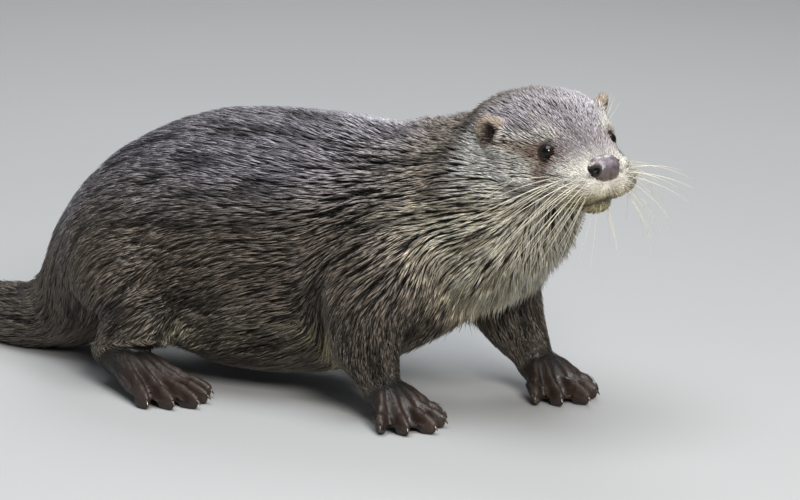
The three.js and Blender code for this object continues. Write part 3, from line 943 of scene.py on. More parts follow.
def carve_face(points, normals, where, under_nose):
    """Sinks the lines of the mouth, raises the brows and sets the skin back behind the nose."""
    depth = LIP_DEPTH * groove(points, MOUTH_LINE, 1.5) + PHILTRUM_DEPTH * groove(points, PHILTRUM, 0.9)
    points = points - normals * depth[:, None]
    points = points - normals * (NOTCH_DEPTH * groove(points, NOTCH, 1.8))[:, None]
    brow = where.head * bump(where.up, 4, 2.6) * bump(where.forward, 50, 9) * smoothstep(14, 20, where.out)
    points = points + normals * (BROW_RISE * brow)[:, None]
    return points + head_direction(-1, 0, 0) * (NOSE_BED * under_nose)[:, None]


def build_skin(skin):
    """The skin's mesh: the fused body set in by the coat's depth, with its toes, lips and lids."""
    mesh = fused_body(skin.grain)
    evened_body(mesh)
    refine_round_eyes(mesh)
    points = points_of(mesh)
    where = Places(points)
    normals = normals_of(points, triangles_of(mesh))
    inset = coat_sizes(where)["depth"] * MM
    points = shape_feet(points - normals * inset[:, None], normals)
    points = carve_face(points, normals, where, behind_nose(where))
    points = shape_lids(points, skin)
    points[:, 2] = np.maximum(points[:, 2], 0.0)
    move_points(mesh, points)
    mesh.update()
    return thinned("skin_fine", mesh, skin.faces)


# What the coat and the whiskers need of the finished skin.
SHAPE = {}


def drawn_out(values, points, lie, tree, step, rounds):
    """The values spread along the lie of the coat, with a mean of nothing and a spread of one."""
    ahead = nearest_points(tree, points + lie * step)
    behind = nearest_points(tree, points - lie * step)
    for _ in range(rounds):
        values = (values + values[ahead] + values[behind]) / 3
    return (values - values.mean()) / values.std()


def keep_shape(mesh, colours):
    """Reads the finished skin once, for the coat that grows on it."""
    points, triangles = points_of(mesh), triangles_of(mesh)
    edges = read_vectors(mesh.edges, "vertices", 2)
    normals = unit(relax(normals_of(points, triangles), edges, 6, np.ones(len(points))))
    where = Places(points)
    tree = tree_of(points)
    SHAPE.update(
        points=points, triangles=triangles, normals=normals, where=where, tree=tree,
        lie=lie_of_coat(where, normals), sizes=coat_sizes(where),
    )
    grain = noise_at(points, 0.0042, 31) + 0.5 * noise_at(points, 0.0024, 32)
    SHAPE["parting"] = drawn_out(grain, points, SHAPE["lie"], tree, 0.006, 9)
    SHAPE["tips"], SHAPE["roots"] = markings(where, colours)


def behind_nose(where):
    """How surely a point of the skin is behind the nose pad, where it is set back and bare."""
    ring = np.sqrt((where.out / NOSE_RADII[0]) ** 2 + ((where.up - NOSE_MIDDLE[2]) / 8.4) ** 2)
    return where.head * smoothstep(77, 83, where.forward) * smoothstep(1.02, 0.86, ring)


def lips_and_lids(where):
    """How much of the bare dark skin of the lips and lid edges shows at each point."""
    points = where.points
    bare = np.maximum(behind_nose(where), groove(points, MOUTH_LINE, 1.5))
    for side in SIDES:
        middle, facing, *_ = eye_axes(side)
        away = points - middle
        distance = np.linalg.norm(away, axis=1)
        angle = np.degrees(np.arccos(np.clip(unit(away) @ facing, -1, 1)))
        rim = smoothstep(0.0105, 0.0085, distance) * smoothstep(84, 68, angle)
        bare = np.maximum(bare, rim)
    return bare


class OTTER_OT_skin(bpy.types.Operator):
    """Makes the one skin that stands for all the solids of flesh"""

    bl_idname = "otter.skin"
    bl_label = "Skin"

    def execute(self, context):
        scene = context.scene
        mesh = build_skin(scene.otter_skin)
        mesh.name = "skin"
        shade_smooth(mesh)
        keep_shape(mesh, scene.otter_markings)
        bare = SHAPE["bare"] = lips_and_lids(SHAPE["where"])
        paws, _ = foot_shares(SHAPE["where"])
        # Mostly the roots' colour: partly the dark skin and underfur, partly painted shade under the coat.
        colour = mix(SHAPE["roots"], SHAPE["tips"], 0.12 + 0.4 * paws)
        set_colours(mesh, "tint", mix(colour, np.array(scene.otter_markings.mouth), bare))
        flesh = [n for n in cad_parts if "claw" not in n and n != "nose" and not n.startswith("eye")]
        add_piece("skin", mesh, skin_material(), flesh)
        return {"FINISHED"}


# ---------------------------------------------------------------- materials
def node_material(name):
    """A new material, its nodes, their links and its shader."""
    material = bpy.data.materials.new(name)
    material.use_nodes = True
    nodes = material.node_tree.nodes
    return material, nodes, material.node_tree.links, nodes["Principled BSDF"]


def attribute_node(nodes, name):
    node = nodes.new("ShaderNodeAttribute")
    node.attribute_name = name
    return node


def noise_node(nodes, links, scale, detail, rough, vector):
    """Cloudy noise over the vector's space."""
    node = nodes.new("ShaderNodeTexNoise")
    node.inputs["Scale"].default_value = scale
    node.inputs["Detail"].default_value = detail
    node.inputs["Roughness"].default_value = rough
    links.new(vector, node.inputs["Vector"])
    return node


def range_node(nodes, links, value, low, high, from_low=0.3, from_high=0.7):
    """The value carried over from one range to another; noise lies mostly from 0.3 to 0.7."""
    node = nodes.new("ShaderNodeMapRange")
    node.inputs["From Min"].default_value = from_low
    node.inputs["From Max"].default_value = from_high
    node.inputs["To Min"].default_value = low
    node.inputs["To Max"].default_value = high
    links.new(value, node.inputs["Value"])
    return node.outputs["Result"]


def bump_node(nodes, links, height, strength, distance):
    """A fine relief of that height."""
    node = nodes.new("ShaderNodeBump")
    node.inputs["Strength"].default_value = strength
    node.inputs["Distance"].default_value = distance
    links.new(height, node.inputs["Height"])
    return node


def tinted(nodes, links, colour, factor):
    """The colour made lighter and darker by a factor from the nodes."""
    node = nodes.new("ShaderNodeVectorMath")
    node.operation = "SCALE"
    links.new(colour, node.inputs[0])
    links.new(factor, node.inputs["Scale"])
    return node.outputs["Vector"]


def joined(nodes, links, operation, first, second):
    """The sum or the product of two values."""
    node = nodes.new("ShaderNodeMath")
    node.operation = operation
    links.new(first, node.inputs[0])
    links.new(second, node.inputs[1])
    return node.outputs[0]


def ramp_node(nodes, links, value, stops):
    """The value as a colour, from stops with a position and a colour each."""
    node = nodes.new("ShaderNodeValToRGB")
    elements = node.color_ramp.elements
    for element, (position, colour) in zip(elements, (stops[0], stops[-1])):
        element.position, element.color = position, (*colour, 1)
    for position, colour in stops[1:-1]:
        elements.new(position).color = (*colour, 1)
    links.new(value, node.inputs["Fac"])
    return node.outputs["Color"]


def scaled(colour, factor):
    return tuple(c * factor for c in colour)


def object_coordinates(nodes):
    return nodes.new("ShaderNodeTexCoord").outputs["Object"]


def skin_material():
    """Wet skin: a fine net of pores and a fine grain in relief, with mottled colour and roughness."""
    material, nodes, links, shader = node_material("wet skin")
    place_of = object_coordinates(nodes)
    tint = attribute_node(nodes, "tint").outputs["Color"]
    broad = noise_node(nodes, links, 70, 4, 0.6, place_of)
    fine = noise_node(nodes, links, 900, 3, 0.6, place_of)
    mottle = range_node(nodes, links, broad.outputs["Fac"], 0.6, 1.3)
    specks = range_node(nodes, links, fine.outputs["Fac"], -0.2, 0.2)
    light = joined(nodes, links, "ADD", mottle, specks)
    links.new(tinted(nodes, links, tint, light), shader.inputs["Base Color"])
    links.new(range_node(nodes, links, broad.outputs["Fac"], 0.36, 0.62), shader.inputs["Roughness"])
    pores = nodes.new("ShaderNodeTexVoronoi")
    pores.feature = "DISTANCE_TO_EDGE"
    pores.inputs["Scale"].default_value = 620
    links.new(place_of, pores.inputs["Vector"])
    rough = bump_node(nodes, links, pores.outputs["Distance"], 0.35, 0.0006)
    grain = bump_node(nodes, links, fine.outputs["Fac"], 0.35, 0.0004)
    links.new(rough.outputs["Normal"], grain.inputs["Normal"])
    links.new(grain.outputs["Normal"], shader.inputs["Normal"])
    shader.inputs["Specular IOR Level"].default_value = 0.35
    shader.inputs["Coat Weight"].default_value = 0.08
    shader.inputs["Coat Roughness"].default_value = 0.3
    return material


def coat_material(name, roughness):
    """Wet guard hair: fine strands along each lock, with a soft shine."""
    material, nodes, links, shader = node_material(name)
    tint = attribute_node(nodes, "tint").outputs["Color"]
    strand = attribute_node(nodes, "strand").outputs["Vector"]
    stretch = nodes.new("ShaderNodeMapping")
    stretch.inputs["Scale"].default_value = (2.6, 0.8, 1.0)
    links.new(strand, stretch.inputs["Vector"])
    strands = noise_node(nodes, links, 1.0, 2, 0.6, stretch.outputs["Vector"])
    patches = noise_node(nodes, links, 60, 3, 0.6, object_coordinates(nodes))
    streaks = range_node(nodes, links, strands.outputs["Fac"], 0.55, 1.45, 0.25, 0.75)
    mottle = range_node(nodes, links, patches.outputs["Fac"], 0.86, 1.14)
    light = joined(nodes, links, "MULTIPLY", streaks, mottle)
    links.new(tinted(nodes, links, tint, light), shader.inputs["Base Color"])
    rough = range_node(nodes, links, patches.outputs["Fac"], roughness - 0.07, roughness + 0.1)
    links.new(rough, shader.inputs["Roughness"])
    ridges = bump_node(nodes, links, strands.outputs["Fac"], 0.5, 0.0005)
    links.new(ridges.outputs["Normal"], shader.inputs["Normal"])
    shader.inputs["Specular IOR Level"].default_value = 0.32
    return material


# ---------------------------------------------------------------- coat
class OtterCoat(bpy.types.PropertyGroup):
    """Sizes of the coat."""

    length: number_property("Length", "Length of the locks beside the otter's own", 1.0, 0.4, 2.0)
    spacing: number_property("Spacing", "Space between the roots beside the otter's own", 1.0, 0.7, 3.0)
    gather: number_property("Gather", "How far the tips gather into wet points", 0.95, 0.0, 1.0)
    roughness: number_property("Roughness", "Roughness of the hair's shine", 0.33, 0.1, 1.0)


# The side of the patch that each lock has on the bake's map, and the faces of the coarse skin behind the map.
PATCH = 0.003
COARSE_FACES = 9000
# Random places tried for each root wanted, and the thinning cell's side as a share of the roots' spacing.
TRIES, THINNING_CELL = 3.2, 0.92
# A clump's cell beside the clump's size, how many clumps a lock chooses from, how far ahead of its root its
# clump's middle lies at best, and how little a step along the lie counts, which makes the clumps long.
CLUMP_CELL, NEAR_CLUMPS, CLUMP_LEAD, ALONG_WEIGHT = 1.25, 9, 0.4, 0.28
# The height of a lock's ridge beside its half width, and what sets the strands of two locks apart.
RIDGE, STRAND_LENGTH, STRAND_STEP, STRAND_LAYER = 0.75, 1.5, 17.0, 31.0
# Each zone of the coat: the space between roots in millimetres and the places along a lock. Each is grown
# as a right and a left piece.
COAT_ZONES = {
    "head": (1.12, 3),
    "neck": (1.55, 4),
    "chest": (1.75, 4),
    "flank": (1.8, 3),
    "rump": (1.8, 3),
    "tail": (1.8, 3),
    "foreleg": (1.7, 3),
    "hindleg": (1.7, 3),
}


def zone_of(where):
    """The number of the coat zone that each point of the surface belongs to."""
    number = list(COAT_ZONES).index
    zone = np.full(len(where.points), number("flank"))
    zone[where.station > -55] = number("chest")
    zone[where.station > 22] = number("neck")
    zone[where.station < -180] = number("rump")
    zone[where.station < -322] = number("tail")
    zone[(where.fore > 0.5) & (where.fore_share > 0.34)] = number("foreleg")
    zone[(where.hind > 0.5) & (where.hind_share > 0.05) & (where.station > -330)] = number("hindleg")
    zone[where.head > 0.55] = number("head")
    return zone


def scattered(points, triangles, density, seed, spacing):
    """Even random places on the triangles: face numbers and shares of the three corners."""
    rng = np.random.default_rng(seed)
    corner = points[triangles]
    area = np.linalg.norm(np.cross(corner[:, 1] - corner[:, 0], corner[:, 2] - corner[:, 0]), axis=1) / 2
    weight = area * density
    wanted = int(weight.sum() / (spacing * MM) ** 2 * TRIES)
    face = np.searchsorted(np.cumsum(weight) / weight.sum(), rng.random(wanted))
    face = np.minimum(face, len(triangles) - 1)
    a, b = np.sqrt(rng.random(wanted)), rng.random(wanted)
    shares = np.stack([1 - a, a * (1 - b), a * b], axis=1)
    keep = np.ones(wanted, bool)
    cell = spacing * MM / np.sqrt(density[face]) * THINNING_CELL
    at = (corner[face] * shares[:, :, None]).sum(1)
    for _ in range(3):
        left = np.nonzero(keep)[0]
        grid = np.floor(at[left] / cell[left, None] + rng.random(3)).astype(np.int64)
        _, first = np.unique(cell_keys(grid), return_index=True)
        keep[:] = False
        keep[left[first]] = True
    return face[keep], shares[keep]


def rooted(zone, side, spacing, seed):
    """For each root of one piece of the coat, the three corners of the skin round it and their shares."""
    where, sizes, triangles = SHAPE["where"], SHAPE["sizes"], SHAPE["triangles"]
    across = where.side if zone == "head" else where.points[:, 0] - ORIGIN_SIDE * MM
    mine = (zone_of(where) == list(COAT_ZONES).index(zone)) & ((across >= 0) == (side == "left"))
    triangles = triangles[mine[triangles[:, 0]]]
    dense = np.clip((0.6 / sizes["width"]) ** 1.2, 0.7, 2.6)
    dense = dense * (1 - smoothstep(0.15, 0.5, SHAPE["bare"])) * (1 - 0.6 * foot_shares(where)[0])
    dense = dense[triangles[:, 0]] + 1e-4
    if zone == "head":
        dense = dense * 0.5
    face, shares = scattered(SHAPE["points"], triangles, dense, seed, spacing)
    return triangles[face], shares


def clump_pull(at, lie, normals, clump, seed):
    """For each root, the sideways step to the middle of its clump and the clump's number."""
    rng = np.random.default_rng(seed)
    order = rng.permutation(len(at))
    grid = np.floor(at / (clump[:, None] * MM * CLUMP_CELL)).astype(np.int64)
    _, first = np.unique(cell_keys(grid)[order], return_index=True)
    seeds = order[first]
    near = min(NEAR_CLUMPS, len(seeds))
    find = tree_of(at[seeds]).find_n
    rows = np.array([[hit[1] for hit in find(p, near)] for p in at.tolist()])
    step = at[seeds][rows] - at[:, None, :]
    along = (step * lie[:, None, :]).sum(2)
    across = step - along[..., None] * lie[:, None, :]
    across = across - normals[:, None, :] * (across * normals[:, None, :]).sum(2, keepdims=True)
    cost = (across**2).sum(2) + (ALONG_WEIGHT * (along - CLUMP_LEAD * clump[:, None] * MM)) ** 2
    best = cost.argmin(1)
    pick = np.arange(len(at))
    return across[pick, best], rows[pick, best]


# How far the locks are rooted in the skin, and how far over the floor they stay, in metres.
ROOT_DEPTH, FLOOR_GAP = 0.0006, 0.0007


def lock_lines(at, normals, lie, length, depth, lift, turn, steps):
    """Points along each lock, following the skin and rising to the coat's depth, with the normals there."""
    skin_points, skin_normals = SHAPE["points"], SHAPE["normals"]
    q = at
    lines, ups = [at - normals * ROOT_DEPTH], [normals]
    direction, normal = lie, normals
    share = np.linspace(0, 1, steps)
    for k in range(1, steps):
        side = np.cross(normal, direction)
        heading = flat_on(direction + side * turn[:, None], normal)
        q = q + heading * (length * (share[k] - share[k - 1]))[:, None]
        found = nearest_points(SHAPE["tree"], q)
        normal = skin_normals[found]
        q = q - normal * ((q - skin_points[found]) * normal).sum(1, keepdims=True)
        direction = SHAPE["lie"][found]
        height = depth * (1 - (1 - share[k]) ** 2.1) + lift * length * share[k] ** 1.6
        lines.append(q + normal * height[:, None])
        ups.append(normal)
    return np.stack(lines, 1), np.stack(ups, 1), share


def lock_mesh(name, lines, ups, widths, tints, marks, patches):
    """Three-sided tapering locks along the lines, each closed at both ends."""
    count, steps, _ = lines.shape
    rings = steps - 1
    ahead = unit(np.gradient(lines, axis=1))
    side = unit(np.cross(ups, ahead))
    top = unit(np.cross(ahead, side))
    size = 3 * rings + 1
    points = np.empty((count, size, 3))
    local = np.empty((count, size, 2))
    colours = np.empty((count, size, 3))
    share = np.linspace(0, 1, steps)
    for k in range(rings):
        w = widths[:, k : k + 1]
        points[:, 3 * k] = lines[:, k] - side[:, k] * w
        points[:, 3 * k + 1] = lines[:, k] + side[:, k] * w
        points[:, 3 * k + 2] = lines[:, k] + top[:, k] * w * RIDGE
        for j, across in enumerate((0.0, 1.0, 0.5)):
            local[:, 3 * k + j] = (across, share[k])
            colours[:, 3 * k + j] = tints[:, k]
    points[:, -1], local[:, -1], colours[:, -1] = lines[:, -1], (0.5, 1.0), tints[:, -1]
    faces = [(0, 1, 2)]
    for k in range(rings - 1):
        a = 3 * k
        for p, q in ((0, 2), (2, 1), (1, 0)):
            faces += [(a + p, a + q, a + q + 3), (a + p, a + q + 3, a + p + 3)]
    a = 3 * (rings - 1)
    faces += [(a, a + 2, size - 1), (a + 2, a + 1, size - 1), (a + 1, a, size - 1)]
    faces = np.array(faces)
    triangles = (faces[None] + (np.arange(count) * size)[:, None, None]).reshape(-1, 3)
    mesh = mesh_of(name, points.reshape(-1, 3), triangles)
    set_colours(mesh, "tint", colours.reshape(-1, 3))
    strand = np.empty((count, size, 3))
    strand[..., 0] = local[..., 0] + marks[:, None] * STRAND_STEP
    strand[..., 1] = local[..., 1] * STRAND_LENGTH
    strand[..., 2] = marks[:, None] * STRAND_LAYER
    set_vectors(mesh, "strand", strand.reshape(-1, 3))
    places_on_map = patches[:, None] + (local - 0.5) * PATCH
    layer = mesh.uv_layers.new(name="OFBake")
    layer.data.foreach_set("uv", places_on_map.reshape(-1, 2)[triangles.ravel()].astype(np.float32).ravel())
    return mesh


def unwrap_skin():
    """A coarse copy of the skin laid out flat once, so that each lock finds its root's place on the map."""
    coarse = thinned("coarse", mesh_of("coarse", SHAPE["points"], SHAPE["triangles"]), COARSE_FACES)
    body = add_object("coarse_map", coarse)
    bpy.context.view_layer.objects.active = body
    for other in bpy.context.selected_objects:
        other.select_set(False)
    body.select_set(True)
    bpy.ops.object.mode_set(mode="EDIT")
    bpy.ops.mesh.select_all(action="SELECT")
    bpy.ops.uv.smart_project(angle_limit=math.radians(66), island_margin=0.004)
    bpy.ops.object.mode_set(mode="OBJECT")
    points, triangles = points_of(body.data), triangles_of(body.data)
    corners = read_vectors(body.data.uv_layers.active.data, "uv", 2).reshape(-1, 3, 2).astype(float)
    remove_with_mesh(body)
    SHAPE["map"] = (BVHTree.FromPolygons(points.tolist(), triangles.tolist()), points, triangles, corners)


def map_places(at):
    """Where the roots lie on the unwrapped skin."""
    if "map" not in SHAPE:
        unwrap_skin()
    tree, points, triangles, corners = SHAPE["map"]
    find = tree.find_nearest
    hits = [find(p) for p in at.tolist()]
    face = np.array([hit[2] for hit in hits])
    on = np.array([hit[0] for hit in hits])
    a, b, c = (points[triangles[face, k]] for k in range(3))
    ab, ac, ap = b - a, c - a, on - a
    d00, d01, d11 = (ab * ab).sum(1), (ab * ac).sum(1), (ac * ac).sum(1)
    d20, d21 = (ap * ab).sum(1), (ap * ac).sum(1)
    whole = np.maximum(d00 * d11 - d01 * d01, 1e-20)
    v, w = (d11 * d20 - d01 * d21) / whole, (d00 * d21 - d01 * d20) / whole
    uv = corners[face]
    out = uv[:, 0] * (1 - v - w)[:, None] + uv[:, 1] * v[:, None] + uv[:, 2] * w[:, None]
    return np.clip(out, PATCH, 1 - PATCH)


def lock_tone_and_painted_shading(at, contrast, crest, sunk, chance, clump_chance):
    """How light each lock's tip is: painted light on its clump's crest, painted shade in the gaps and
    partings, and random lightness.
    """
    tone_and_painted_shading = (1 + contrast * (0.24 * crest - 0.9 * (1 - crest))) ** 2.2 * (1 - 0.82 * sunk)
    single = 0.55 - 0.25 * contrast
    tone_and_painted_shading = tone_and_painted_shading * (1 + single * (chance - 0.5) + 0.24 * (clump_chance - 0.5))
    return tone_and_painted_shading * (1 + 0.10 * noise_at(at, 0.03, 21))


def lock_tints(roots, tips, tone_and_painted_shading, share, contrast):
    """The colours along each lock, from roots to tips; they turn later where the contrast is strong, which
    paints shade over the lock's lower part.
    """
    along = [0, 0.33, 0.5, 0.67, 1]
    late = np.interp(share, along, [0.0, 0.05, 0.30, 0.72, 1.0])
    early = np.interp(share, along, [0.0, 0.45, 0.70, 0.85, 1.0])
    blend = early + (late - early) * contrast[:, None]
    tints = roots[:, None] * (1 - blend)[..., None] + (tips * tone_and_painted_shading[:, None])[:, None] * blend[..., None]
    return np.clip(tints, 0, 1)


def grow_coat(zone, side, coat):
    """Adds one piece of the coat: its locks, with their sizes, lie, colours and places on the map.

    The random draws keep this order, so that each run grows the same coat.
    """
    seed = 2 * list(COAT_ZONES).index(zone) + (side == "left")
    spacing, steps = COAT_ZONES[zone]
    spacing = spacing * coat.spacing * 1
    corner, shares = rooted(zone, side, spacing, 100 + seed)

    def at_roots(values):
        return (values[corner] * shares.reshape(shares.shape + (1,) * (values.ndim - 1))).sum(1)

    at, normals = at_roots(SHAPE["points"]), unit(at_roots(SHAPE["normals"]))
    lie = flat_on(at_roots(SHAPE["lie"]), normals)
    size = {name: at_roots(values) for name, values in SHAPE["sizes"].items()}
    contrast = size["contrast"]
    rng = np.random.default_rng(500 + seed)
    many = len(at)
    pull, clump = clump_pull(at, lie, normals, size["clump"], 900 + seed)
    clump_chance = np.random.default_rng(7 + seed).random((clump.max() + 1, 3))[clump]
    crest = smoothstep(0.36, 0.06, np.linalg.norm(pull, axis=1) / (size["clump"] * MM))
    sunk = smoothstep(0.15, 1.2, at_roots(SHAPE["parting"])) * (1 - 0.4 * contrast)
    length = size["length"] * MM * coat.length * (0.75 + 0.4 * rng.random(many))
    length = length * (0.85 + 0.3 * clump_chance[:, 0])
    depth = size["depth"] * MM * (0.75 + 0.35 * rng.random(many))
    depth = depth * (1 - 0.45 * contrast * (1 - crest)) * (1 - 0.4 * sunk)
    lift = size["lift"] * (0.3 + 0.9 * clump_chance[:, 1] * crest + 0.2 * rng.random(many))
    wave = 0.45 * noise_at(at, 0.02, 11) + 0.25 * noise_at(at, 0.007, 12)
    turn = 0.3 * wave + 0.10 * (rng.random(many) - 0.5) + 0.2 * size["gather"] * (clump_chance[:, 2] - 0.5)
    lines, ups, share = lock_lines(at, normals, lie, length, depth, lift, turn, steps)
    gather = coat.gather * size["gather"][:, None, None]
    lines = lines + pull[:, None, :] * (gather * share[None, :, None] ** 1.1)
    lines[..., 2] = np.maximum(lines[..., 2], FLOOR_GAP)
    taper = np.interp(share, [0, 0.35, 0.7, 1], [0.8, 1.0, 0.66, 0.0])
    widths = (size["width"] * MM * (0.8 + 0.4 * rng.random(many)))[:, None] * taper
    # Painted light on the clumps' crests and painted shade in their gaps and partings, with random lightness.
    tone_and_painted_shading = lock_tone_and_painted_shading(at, contrast, crest, sunk, rng.random(many), clump_chance[:, 0])
    tints = lock_tints(at_roots(SHAPE["roots"]), at_roots(SHAPE["tips"]), tone_and_painted_shading, share, contrast)
    name = f"coat_{zone}_{side}"
    mesh = lock_mesh(name, lines, ups, widths, tints, rng.random(many), map_places(at))
    add_piece(name, mesh, coat_material(name.replace("_", " "), coat.roughness))


class CoatZones:
    """What the coat's operators share."""

    zones = ()

    def execute(self, context):
        for zone in self.zones:
            for side in SIDES:
                grow_coat(zone, side, context.scene.otter_coat)
        return {"FINISHED"}


class OTTER_OT_head_coat(CoatZones, bpy.types.Operator):
    """Grows the short ticked hair of the head"""

    bl_idname = "otter.head_coat"
    bl_label = "Head Coat"
    zones = ("head",)


class OTTER_OT_neck_coat(CoatZones, bpy.types.Operator):
    """Grows the slender pointed locks of the neck, throat and chest"""

    bl_idname = "otter.neck_coat"
    bl_label = "Neck Coat"
    zones = ("neck", "chest")


class OTTER_OT_trunk_coat(CoatZones, bpy.types.Operator):
    """Grows the flat coat of the flanks and rump"""

    bl_idname = "otter.trunk_coat"
    bl_label = "Trunk Coat"
    zones = ("flank", "rump")


class OTTER_OT_leg_coat(CoatZones, bpy.types.Operator):
    """Grows the hair of the legs and the short hair of the feet"""

    bl_idname = "otter.leg_coat"
    bl_label = "Leg Coat"
    zones = ("foreleg", "hindleg")


class OTTER_OT_tail_coat(CoatZones, bpy.types.Operator):
    """Grows the coat of the tail"""

    bl_idname = "otter.tail_coat"
    bl_label = "Tail Coat"
    zones = ("tail",)


# ---------------------------------------------------------------- eyes
class OtterFace(bpy.types.PropertyGroup):
    """Sizes and colours of the eyes, nose, claws and whiskers."""

    iris: colour_property("Iris", "Dark brown of the iris", 36, 22, 15)
    nose: colour_property("Nose", "Bare wet skin of the nose", 80, 71, 75)
    claw: colour_property("Claw", "Horn of the claws", 58, 46, 38)
    whisker: colour_property("Whisker", "Pale stiff whiskers", 212, 204, 182)
    whisker_length: length_property("Whisker length", "Length of the longest whiskers", 0.078, 0.02, 0.1)
    whisker_width: length_property("Whisker width", "Thickness of a whisker's root", 0.0005, 0.0003, 0.0015)


# Rows and columns of points on an eyeball and on the nose pad.
EYE_GRID, NOSE_GRID = (48, 72), (120, 160)


def sphere_grid(rows, columns):
    """Directions on a closed sphere whose pole is +Z, and its triangles."""
    turn = np.linspace(0, np.pi, rows + 1)[1:-1]
    around = np.linspace(0, 2 * np.pi, columns, endpoint=False)
    rings = np.stack([
        np.outer(np.sin(turn), np.cos(around)), np.outer(np.sin(turn), np.sin(around)),
        np.outer(np.cos(turn), np.ones(columns)),
    ], axis=-1).reshape(-1, 3)
    points = np.vstack([[0, 0, 1], rings, [0, 0, -1]])
    triangles = []
    last = len(points) - 1
    for j in range(columns):
        n = (j + 1) % columns
        triangles.append((0, 1 + j, 1 + n))
        for i in range(rows - 2):
            a, b = 1 + i * columns, 1 + (i + 1) * columns
            triangles += [(a + j, b + j, b + n), (a + j, b + n, a + n)]
        a = 1 + (rows - 2) * columns
        triangles.append((a + j, last, a + n))
    return points, np.array(triangles)


def eye_material(iris):
    """A dark wet eye: brown iris fibres round a black pupil under a clear surface."""
    material, nodes, links, shader = node_material("wet eye")
    rays = attribute_node(nodes, "rays").outputs["Vector"]
    fibres = noise_node(nodes, links, 9, 4, 0.7, rays)
    parts = nodes.new("ShaderNodeSeparateXYZ")
    links.new(rays, parts.inputs[0])
    black, rim = (0.0015, 0.0012, 0.001), (0.03, 0.02, 0.018)
    stops = [(0.0, black), (0.52, black), (0.60, scaled(iris, 0.6)), (0.82, iris), (0.9, black), (1.0, rim)]
    rings = ramp_node(nodes, links, parts.outputs["Z"], stops)
    light = range_node(nodes, links, fibres.outputs["Fac"], 0.5, 1.5)
    links.new(tinted(nodes, links, rings, light), shader.inputs["Base Color"])
    links.new(range_node(nodes, links, fibres.outputs["Fac"], 0.05, 0.12), shader.inputs["Roughness"])
    shader.inputs["Specular IOR Level"].default_value = 0.26
    return material


class OTTER_OT_eyes(bpy.types.Operator):
    """Makes the two eyeballs with their raised clear fronts"""

    bl_idname = "otter.eyes"
    bl_label = "Eyes"

    def execute(self, context):
        skin, face = context.scene.otter_skin, context.scene.otter_face
        directions, triangles = sphere_grid(*EYE_GRID)
        away = np.degrees(np.arccos(np.clip(directions[:, 2], -1, 1)))
        cornea = smoothstep(46, 12, away)
        rays = np.column_stack([unit(directions[:, :2] + 1e-9), away / 60])
        material = eye_material(tuple(face.iris))
        for side in SIDES:
            middle, facing, ahead, above = eye_axes(side)
            axes = np.stack([ahead, above, facing])
            if np.linalg.det(axes) < 0:
                axes[0] = -axes[0]
            points = middle + (directions * (skin.eye_radius * (1 + 0.05 * cornea))[:, None]) @ axes
            mesh = mesh_of(f"eyeball_{side}", points, triangles)
            set_vectors(mesh, "rays", rays)
            add_piece(f"eyeball_{side}", mesh, material, [f"eye_{side}"])
        return {"FINISHED"}


# ---------------------------------------------------------------- nose
def nose_material():
    """Bare wet nose skin: fine pebbles, a painted highlight that makes the top paler, painted shade that
    makes the nostrils black.
    """
    material, nodes, links, shader = node_material("wet nose")
    place_of = object_coordinates(nodes)
    tint = attribute_node(nodes, "tint").outputs["Color"]
    pebbles = nodes.new("ShaderNodeTexVoronoi")
    pebbles.inputs["Scale"].default_value = 1100
    links.new(place_of, pebbles.inputs["Vector"])
    patches = noise_node(nodes, links, 260, 4, 0.6, place_of)
    light = range_node(nodes, links, patches.outputs["Fac"], 0.6, 1.4)
    links.new(tinted(nodes, links, tint, light), shader.inputs["Base Color"])
    links.new(range_node(nodes, links, patches.outputs["Fac"], 0.16, 0.4), shader.inputs["Roughness"])
    rough = bump_node(nodes, links, pebbles.outputs["Distance"], 0.45, 0.0004)
    rough.invert = True
    links.new(rough.outputs["Normal"], shader.inputs["Normal"])
    shader.inputs["Coat Weight"].default_value = 0.35
    shader.inputs["Coat Roughness"].default_value = 0.3
    return material


# The tint of the nose's lower half beside its own colour, and the painted shade inside the nostrils, near
# black.
UNDER_NOSE, NOSTRIL_SHADE = (1.25, 1.05, 0.8), (0.004, 0.003, 0.003)


def squarish(value, power):
    """A round profile made a little squarer."""
    return np.sign(value) * np.abs(value) ** power


def nose_shape(directions):
    """The nose pad's points, broad above and narrow below, and how deep in a nostril each one is."""
    side, up, ahead = directions.T
    out = np.abs(side)
    x, z, y = squarish(side, 0.86), squarish(up, 0.9), squarish(ahead, 0.94)
    x = x * (1 - 0.30 * np.clip(-z, 0, 1) ** 1.3)
    shape = np.stack([y * NOSE_RADII[1], x * NOSE_RADII[0], z * NOSE_RADII[2]], axis=1)
    dip = bump(out, 0, 0.16) * smoothstep(0.2, 0.9, up)
    shape[:, 2] -= 0.5 * dip + 1.6 * smoothstep(0.45, 0.95, out) * smoothstep(0, 0.5, up)
    pit = np.exp(-(((out - 0.82) / 0.25) ** 2) - (((up - 0.02 + 0.7 * (out - 0.82)) / 0.42) ** 2))
    pit = pit * smoothstep(-0.35, 0.1, ahead)
    rim = np.exp(-(((out - 0.52) / 0.16) ** 2) - (((up - 0.05) / 0.4) ** 2)) * smoothstep(0, 0.5, ahead)
    shape *= (1 - 0.42 * pit**1.2)[:, None]
    shape[:, 0] += 0.7 * rim - 1.2 * pit
    shape[:, 0] -= bump(out, 0, 0.055) * smoothstep(0.25, -0.3, up) * smoothstep(0, 0.5, ahead)
    ahead, side, up = (shape + np.array(NOSE_MIDDLE)).T
    return HEAD_AT + np.stack([side, -ahead, up], axis=1) * MM @ HEAD_AXES.T, pit


